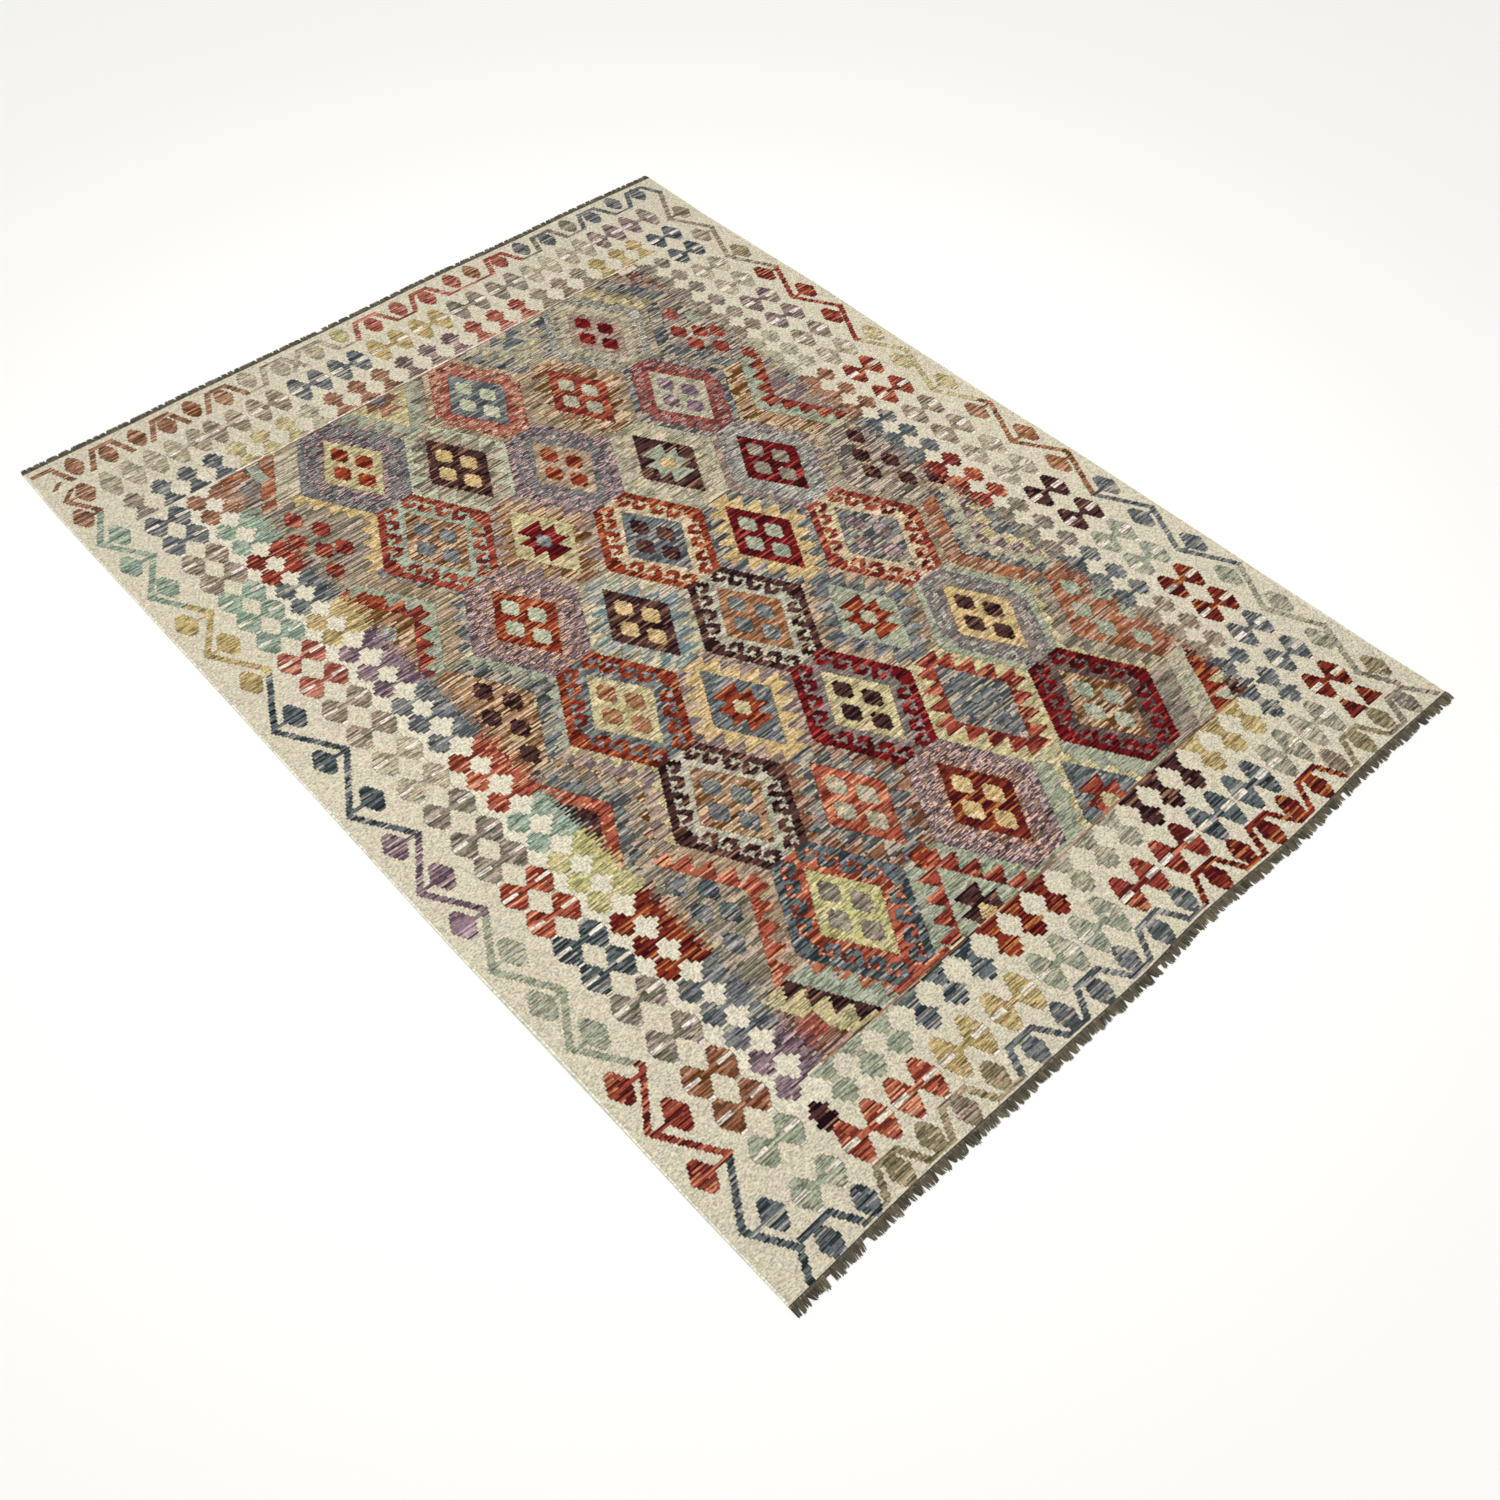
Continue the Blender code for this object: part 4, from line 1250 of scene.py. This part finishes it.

# painted shade of the lines, valleys and slits, with the grain and fuzz, scales the colour
light = line
for factor in (grain, fuzz_swing, valley_shade, slit):
    light = add_node(tree, "MULTIPLY", (light, factor))
lit = add_node(tree, VECTOR, {0: tinted, "Scale": light}, operation="SCALE")
relief = add_node(tree, "MULTIPLY_ADD", (fuzz, 0.35, bead))
bump = add_node(tree, "ShaderNodeBump", {"Strength": 0.55, "Distance": 0.0006, "Height": relief})
# wool is matt with a faint bloom from its fibres, and a little smoother on top of each bead
rough = add_node(tree, "MULTIPLY_ADD", (bead, -0.06, 0.95))
give(tree, shader, {"Base Color": lit, "Normal": bump, "Roughness": rough, "IOR": 1.5,
                    "Specular IOR Level": 0.06, "Sheen Weight": 0.015, "Sheen Roughness": 0.6})

cloth = bpy.data.objects.new("kilim_weave", weave)
bpy.context.scene.collection.objects.link(cloth)
weave.materials.append(wool)
print("weft wool has", len(tree.nodes), "nodes")

# %% [markdown]
# ## The fringe of warp ends
#
# When the cloth comes off the loom, its warps are left standing out at both ends. They are knotted
# in a row against the last weft so that nothing unravels, and cut short. Thousands of yarn ends
# could be modelled by hand, but they all follow one rule, so Geometry Nodes make them: points along
# the edge carry each end's length and lean, every point gets one strand, and the strand is bent,
# laid down and thinned towards its tip. The solids' locks give the lengths, from the same table and
# the same seeds.

# %% Where the knots and the ends stand
FRINGES = (
    # name, side, reach, strip width, locks, shortest share, missing locks, ends in a lock,
    # how much of its solid's shortfall a lock of yarn ends has, seed
    ("far_fringe", 1, FAR_REACH, 0.0110, 120, 0.45, (51,), 17, 0.12, 11),
    ("near_fringe", -1, NEAR_REACH, 0.0100, 176, 0.35, (7, 15, 85, 139), 10, 0.28, 29),
)
LOCK_LEAN = 0.0050
# a lock's random share of the reach stops here, but every thirteenth lock has all of it
LONG_SHARE = 0.95
FULL_EVERY, FULL_PHASE = 13, 9
# how far out on its strip an end is rooted, as a share of the strip's width
ROOT_SHARE = 0.55
# the ends of one lock: how raggedly they are cut, how far they fan and stray, how thick they are,
# and how high the lower and the upper ones start
RAGGED_CUT = 0.16
FAN, STRAY = 0.25, 0.003
END_RADIUS, RADIUS_SWING = 0.0008, 0.0003
LOW_START, START_STEP = 0.0009, 0.0013


def edge_of_cloth(shares, side):
    """X and Y along the far (+1) or near (-1) edge, at shares of the width."""
    rows = np.full(len(shares), 0.0 if side > 0 else float(ROWS))
    return on_cloth(np.asarray(shares) * COLUMNS, rows)


def fringe_points(reach, strip, locks, shortest, missing, ends, shortfall, seed):
    """Roots of the yarn ends: place, length, lean, thickness, lift and a share of the shades."""
    lock_luck = random.Random(seed)
    end_luck = np.random.default_rng(seed)
    roots = []
    for lock in range(locks):
        if lock in missing:
            continue
        share = lock_luck.uniform(shortest, LONG_SHARE)
        share = 1.0 if lock % FULL_EVERY == FULL_PHASE else share
        lean = lock_luck.uniform(-LOCK_LEAN, LOCK_LEAN)
        tone = end_luck.random()
        for end in range(ends):
            spread = (end + 0.5) / ends - 0.5
            across = (lock + 0.5 + spread) / locks
            pitch = CLOTH_WIDTH / locks
            cut = 1 - shortfall * (1 - share) - RAGGED_CUT * end_luck.random()
            to_tip = lean - spread * pitch * FAN + STRAY * (end_luck.random() - 0.5)
            length = reach * cut - strip * ROOT_SHARE
            thick = END_RADIUS + RADIUS_SWING * end_luck.random()
            lift = LOW_START + START_STEP * (end % 2)
            shade = 0.5 * tone + 0.5 * end_luck.random()
            roots.append((across, length, to_tip, thick, lift, shade))
    return np.array(roots)


def point_mesh(name, x, y, z, **values):
    """Loose points with named numbers on them, for Geometry Nodes to read."""
    mesh = bpy.data.meshes.new(name)
    mesh.from_pydata(np.stack([x, y, z], 1).tolist(), [], [])
    for key, numbers in values.items():
        layer = mesh.attributes.new(key, "FLOAT", "POINT")
        layer.data.foreach_set("value", np.asarray(numbers, dtype=float))
    return mesh


print("locks:", {fringe[0]: fringe[4] - len(fringe[6]) for fringe in FRINGES})

# %% [markdown]
# The warps are natural dark wool, so no two ends have quite the same brown or grey. The material
# reads a number on each strand for its shade, and adds the fine slanting lines of the yarn's twist.

# %% Undyed warp wool
warp_wool, tree, shader = new_material("undyed_warp_wool")
tone = add_node(tree, "ShaderNodeAttribute", attribute_name="tone").outputs["Fac"]
ramp = add_node(tree, "ShaderNodeValToRGB", {"Fac": tone})
stops = ((0.0, "3B362D"), (0.35, "5E574A"), (0.6, "726957"), (0.82, "84785F"), (1.0, "988D76"))
while len(ramp.color_ramp.elements) < len(stops):
    ramp.color_ramp.elements.new(0.5)
for element, (position, code) in zip(ramp.color_ramp.elements, stops):
    element.position = position
    element.color = to_linear(code) + [1.0]
place = add_node(tree, "ShaderNodeTexCoord")
fuzz = add_node(tree, "ShaderNodeTexNoise", {"Vector": place.outputs["Object"], "Scale": 600.0,
                                            "Detail": 2.0})
slant = add_node(tree, "ShaderNodeMapping", {"Vector": place.outputs["Object"],
                                             "Rotation": (0.0, 0.0, 0.7)})
# the twist is drawn coarser than the real 0.5 mm ply, so that it can be seen at all
twist = add_node(tree, "ShaderNodeTexWave", {"Vector": slant, "Scale": 280.0, "Distortion": 1.0})
fuzz_part = add_node(tree, "MULTIPLY_ADD", (fuzz, 0.5, 0.45))
swing = add_node(tree, "MULTIPLY_ADD", (twist.outputs["Fac"], 0.26, fuzz_part))
shade = add_node(tree, VECTOR, {0: ramp, "Scale": swing}, operation="SCALE")
bump = add_node(tree, "ShaderNodeBump", {"Strength": 0.5, "Distance": 0.0004,
                                         "Height": twist.outputs["Fac"]})
rough = add_node(tree, "MULTIPLY_ADD", (fuzz, 0.10, 0.88))
give(tree, shader, {"Base Color": shade, "Normal": bump, "Roughness": rough,
                    "Specular IOR Level": 0.25})
print("warp wool has", len(tree.nodes), "nodes")

# %% [markdown]
# The tree below makes one strand on each point. Its named inputs are how many pieces a strand
# bends in and how far it thins to its tip. All strands of one end of the rug are one mesh at last.

# %% How a tree starts and ends
SOCKET = "NodeSocket"


def new_tree(name, **kinds):
    """A tree that takes points and named inputs, and the outputs that these come in by."""
    tree = bpy.data.node_groups.new(name, "GeometryNodeTree")
    for socket, kind in {"Geometry": "Geometry", **kinds}.items():
        tree.interface.new_socket(socket.replace("_", " "), in_out="INPUT",
                                  socket_type=SOCKET + kind)
    tree.interface.new_socket("Geometry", in_out="OUTPUT", socket_type=SOCKET + "Geometry")
    return tree, add_node(tree, "NodeGroupInput").outputs


def dress_and_end(tree, geometry, material):
    """Ends a tree: smooth, made real and in its material."""
    smooth = add_node(tree, "GeometryNodeSetShadeSmooth", {"Geometry": geometry})
    whole = add_node(tree, "GeometryNodeRealizeInstances", (smooth,))
    dressed = add_node(tree, "GeometryNodeSetMaterial", {"Geometry": whole, "Material": material})
    add_node(tree, "NodeGroupOutput", {"Geometry": dressed})
    return tree


# %% A Geometry Nodes tree for cut yarn ends
def yarn_end_tree(material):
    tree, source = new_tree("cut_yarn_ends", Bends="Int", Tip_Share="Float")
    share, lean, reach, thick, lift = [
        add_node(tree, "GeometryNodeInputNamedAttribute", {"Name": name}, data_type="FLOAT")
        for name in ("share", "lean", "reach", "thick", "lift")]
    line = add_node(tree, "GeometryNodeCurvePrimitiveLine", {"End": (0.0, 1.0, 0.0)})
    strand = add_node(tree, "GeometryNodeResampleCurve",
                      {"Curve": line.outputs[0], "Count": source["Bends"]})
    along = add_node(tree, "GeometryNodeSplineParameter")
    marked = add_node(tree, "GeometryNodeStoreNamedAttribute",
                      {"Geometry": strand, "Name": "share", "Value": along.outputs["Factor"]},
                      data_type="FLOAT", domain="POINT")
    spread = add_node(tree, "GeometryNodeInstanceOnPoints",
                      {"Points": source["Geometry"], "Instance": marked})
    strands = add_node(tree, "GeometryNodeRealizeInstances", (spread,))
    late = add_node(tree, "POWER", (share, 1.4))
    sideways = add_node(tree, "MULTIPLY", (lean, late))
    # the pattern strand is 1 m long, so it is pulled back to its own reach
    pull = add_node(tree, "SUBTRACT", (reach, 1.0))
    outwards = add_node(tree, "MULTIPLY", (share, pull))
    early = add_node(tree, "POWER", (share, 0.8))
    drop = add_node(tree, "SUBTRACT", (thick, lift))
    fall = add_node(tree, "MULTIPLY", (drop, early))
    move = add_node(tree, JOIN, (sideways, outwards, fall))
    bent = add_node(tree, "GeometryNodeSetPosition", {"Geometry": strands, "Offset": move})
    loss = add_node(tree, "SUBTRACT", (source["Tip Share"], 1.0))
    thin = add_node(tree, "MULTIPLY_ADD", (share, loss, 1.0))
    radius = add_node(tree, "MULTIPLY", (thick, thin))
    ring = add_node(tree, "GeometryNodeCurvePrimitiveCircle", {"Resolution": 5, "Radius": 1.0})
    tubes = add_node(tree, "GeometryNodeCurveToMesh",
                     {"Curve": bent, "Profile Curve": ring, "Scale": radius, "Fill Caps": True})
    return dress_and_end(tree, tubes, material)


ends_tree = yarn_end_tree(warp_wool)
print(ends_tree.name, "has", len(ends_tree.nodes), "nodes")


# %% A Geometry Nodes tree for the row of knots
def knot_tree(material):
    tree, source = new_tree("row_of_knots", Knot_Width="Float", Knot_Length="Float",
                            Knot_Height="Float", Seed="Int")
    size = add_node(tree, JOIN, [source["Knot " + side] for side in ("Width", "Length", "Height")])
    swing = add_node(tree, "FunctionNodeRandomValue", data_type="FLOAT_VECTOR", inputs={
        "Min": (0.86, 0.80, 0.80), "Max": (1.0, 1.0, 1.0), "Seed": source["Seed"]})
    scale = add_node(tree, VECTOR, (size, swing), operation="MULTIPLY")
    ball = add_node(tree, "GeometryNodeMeshUVSphere", {"Segments": 8, "Rings": 6, "Radius": 0.5})
    turn = add_node(tree, "FunctionNodeRandomValue", data_type="FLOAT_VECTOR", inputs={
        "Min": (0.0, 0.0, -0.16), "Max": (0.0, 0.0, 0.16), "Seed": source["Seed"]})
    turned = add_node(tree, "FunctionNodeEulerToRotation", (turn,))
    spread = add_node(tree, "GeometryNodeInstanceOnPoints",
                      {"Points": source["Geometry"], "Instance": ball, "Rotation": turned,
                       "Scale": scale})
    return dress_and_end(tree, spread, material)


knots_tree = knot_tree(warp_wool)
print(knots_tree.name, "has", len(knots_tree.nodes), "nodes")


# %% Growing a mesh from points
def grow(points, tree, settings):
    """Runs a tree on points and gives back the plain mesh that it makes."""
    holder = bpy.data.objects.new(points.name, points)
    bpy.context.scene.collection.objects.link(holder)
    modifier = holder.modifiers.new("grow", "NODES")
    modifier.node_group = tree
    for item in tree.interface.items_tree:
        if item.item_type == "SOCKET" and item.in_out == "INPUT" and item.name in settings:
            modifier[item.identifier] = settings[item.name]
    depsgraph = bpy.context.evaluated_depsgraph_get()
    mesh = bpy.data.meshes.new_from_object(holder.evaluated_get(depsgraph))
    bpy.data.objects.remove(holder, do_unlink=True)
    return mesh


# %% [markdown]
# Under the knots lies the last of the warps' heading: a narrow flat strip that ties the row
# together. It is a plain closed band along the cloth's edge, and the knots are set into it. Its
# dark tone is partly the warp wool's own and partly painted shade in the gaps between the knots.

# %% The strip under the knots
STRIP_HEIGHT = 0.0017
STRIP_STATIONS = 161


def strip_mesh(side, width):
    """A closed band from just off the cloth's edge outwards."""
    x, y = edge_of_cloth(np.linspace(0, 1, STRIP_STATIONS), side)
    inner = y + side * PARTING_GAP
    outer = inner + side * width
    corners, faces = [], []
    for i in range(len(x)):
        for edge, z in ((inner, 0.0), (outer, 0.0), (outer, STRIP_HEIGHT * 0.8),
                        (inner, STRIP_HEIGHT)):
            corners.append((x[i], edge[i], z))
    for i in range(len(x) - 1):
        for j in range(4):
            k = (j + 1) % 4
            face = (4 * i + j, 4 * i + k, 4 * i + 4 + k, 4 * i + 4 + j)
            faces.append(face if side > 0 else face[::-1])
    last = 4 * (len(x) - 1)
    for cap in ((3, 2, 1, 0), (last, last + 1, last + 2, last + 3)):
        faces.append(cap if side > 0 else cap[::-1])
    mesh = bpy.data.meshes.new("strip")
    mesh.from_pydata(corners, [], faces)
    # a dark tone: partly the warp wool's own, partly painted shade in the gaps between the knots
    layer = mesh.attributes.new("tone", "FLOAT", "POINT")
    layer.data.foreach_set("value", np.full(len(corners), 0.2))
    mesh.materials.append(warp_wool)
    return mesh


print("corners of a strip:", 4 * STRIP_STATIONS)


# %% The fringes
KNOTS = 448
# a knot in metres, and as shares of its strip's width and of the pitch along the row
KNOT_HEIGHT, KNOT_MIDDLE = 0.0026, 0.00135
KNOT_LENGTH_SHARE, KNOT_WIDTH_SHARE = 0.98, 1.02
STRIP_SHARE = 0.94


def join_meshes(name, meshes):
    """Several plain meshes as one object."""
    pieces = []
    for mesh in meshes:
        piece = bpy.data.objects.new(name, mesh)
        bpy.context.scene.collection.objects.link(piece)
        pieces.append(piece)
    with bpy.context.temp_override(active_object=pieces[0], selected_editable_objects=pieces,
                                   selected_objects=pieces):
        bpy.ops.object.join()
    return pieces[0]


fringes = []
for name, side, reach, strip, locks, shortest, missing, ends_in, shortfall, seed in FRINGES:
    across, length, lean, thick, lift, tone = fringe_points(
        reach, strip, locks, shortest, missing, ends_in, shortfall, seed).T
    x, y = edge_of_cloth(across, side)
    ends = point_mesh("ends", x, y + side * (PARTING_GAP + strip * ROOT_SHARE), lift,
                      reach=side * length, lean=lean, thick=thick, lift=lift, tone=tone)
    luck = np.random.default_rng(seed + 1)
    x, y = edge_of_cloth((np.arange(KNOTS) + 0.5) / KNOTS, side)
    tone = np.clip(luck.normal(0.55, 0.24, KNOTS), 0, 1)
    row = point_mesh("knots", x, y + side * (PARTING_GAP + strip / 2),
                     np.full(KNOTS, KNOT_MIDDLE), tone=tone)
    parts = [strip_mesh(side, strip * STRIP_SHARE),
             grow(ends, ends_tree, {"Bends": 4, "Tip Share": 0.65}),
             grow(row, knots_tree, {"Knot Width": CLOTH_WIDTH / KNOTS * KNOT_WIDTH_SHARE,
                                    "Knot Length": strip * KNOT_LENGTH_SHARE,
                                    "Knot Height": KNOT_HEIGHT, "Seed": seed})]
    triangles = sum(len(face.vertices) - 2 for mesh in parts for face in mesh.polygons)
    print(name, "ends:", len(across), "triangles:", triangles)
    fringes.append(join_meshes(name + "_ends", parts))

# %% [markdown]
# ## Floor, light and camera
#
# The rug was shown on a plain pale floor in soft, even light, so one broad lamp overhead and a
# bright surround do it. The camera stands where the photograph was taken from, worked out from the
# four corners of the rug: high above the near left corner, looking down along the diagonal.

# %% The floor
FLOOR_HALF = 9
floor_mesh = bpy.data.meshes.new("floor")
quarters = ((-1, -1), (1, -1), (1, 1), (-1, 1))
floor_mesh.from_pydata([(x * FLOOR_HALF, y * FLOOR_HALF, 0) for x, y in quarters], [],
                       [(0, 1, 2, 3)])
floor = bpy.data.objects.new("floor", floor_mesh)
bpy.context.scene.collection.objects.link(floor)
floor_paint, tree, shader = new_material("pale_floor")
place = add_node(tree, "ShaderNodeTexCoord").outputs["Object"]
grain = add_node(tree, "ShaderNodeTexNoise", {"Vector": place, "Scale": 3.3, "Detail": 2.0})
rough = add_node(tree, "MULTIPLY_ADD", (grain, 0.06, 0.87))
give(tree, shader, {"Base Color": to_linear("F8F7F4") + [1.0], "Roughness": rough})
floor_mesh.materials.append(floor_paint)
print("floor:", 2 * FLOOR_HALF, "m wide")

# %% Light
world = bpy.data.worlds.new("soft_surround")
bpy.context.scene.world = world
world.use_nodes = True
give(world.node_tree, world.node_tree.nodes["Background"],
     {"Color": (1.0, 1.0, 1.0, 1.0), "Strength": 0.92})
# plain display colours: the shades then come out as the hex values above say
bpy.context.scene.view_settings.view_transform = "Standard"
lamp_data = bpy.data.lights.new("broad_lamp", "AREA")
lamp_data.shape = "RECTANGLE"
lamp_data.size, lamp_data.size_y = 2.0, 2.0
lamp_data.energy = 22
lamp = bpy.data.objects.new("broad_lamp", lamp_data)
lamp.location = (-0.1, 0.0, 2.3)
lamp.visible_camera = False
bpy.context.scene.collection.objects.link(lamp)
print(f"lamp: {lamp_data.energy:.0f} W, {lamp.location.z:.1f} m up")

# %% Camera
# the lens that the photo was taken with, in pixels of its width
FOCAL_PIXELS, PHOTO_PIXELS = 1555.07, 1500
camera_data = bpy.data.cameras.new("camera")
camera_data.sensor_width = 36.0
camera_data.lens = FOCAL_PIXELS / PHOTO_PIXELS * 36.0
camera = bpy.data.objects.new("camera", camera_data)
camera.location = (-1.78036, -2.02074, 2.71591)
camera.rotation_euler = [math.radians(a) for a in (38.5262, -1.2623, -42.7353)]
bpy.context.scene.collection.objects.link(camera)
bpy.context.scene.camera = camera
print(f"lens {camera_data.lens:.1f} mm")

# %% [markdown]
# ## The pieces on the body
#
# Every piece rides on the rug's one body and takes the place of its plain solid.

# %% Pieces on the body
for piece, node, slot in ((cloth, "kilim_cloth", "kilim_wool"),
                          (fringes[0], "far_fringe", "warp_wool"),
                          (fringes[1], "near_fringe", "warp_wool")):
    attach(piece, "root")
    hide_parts(node)
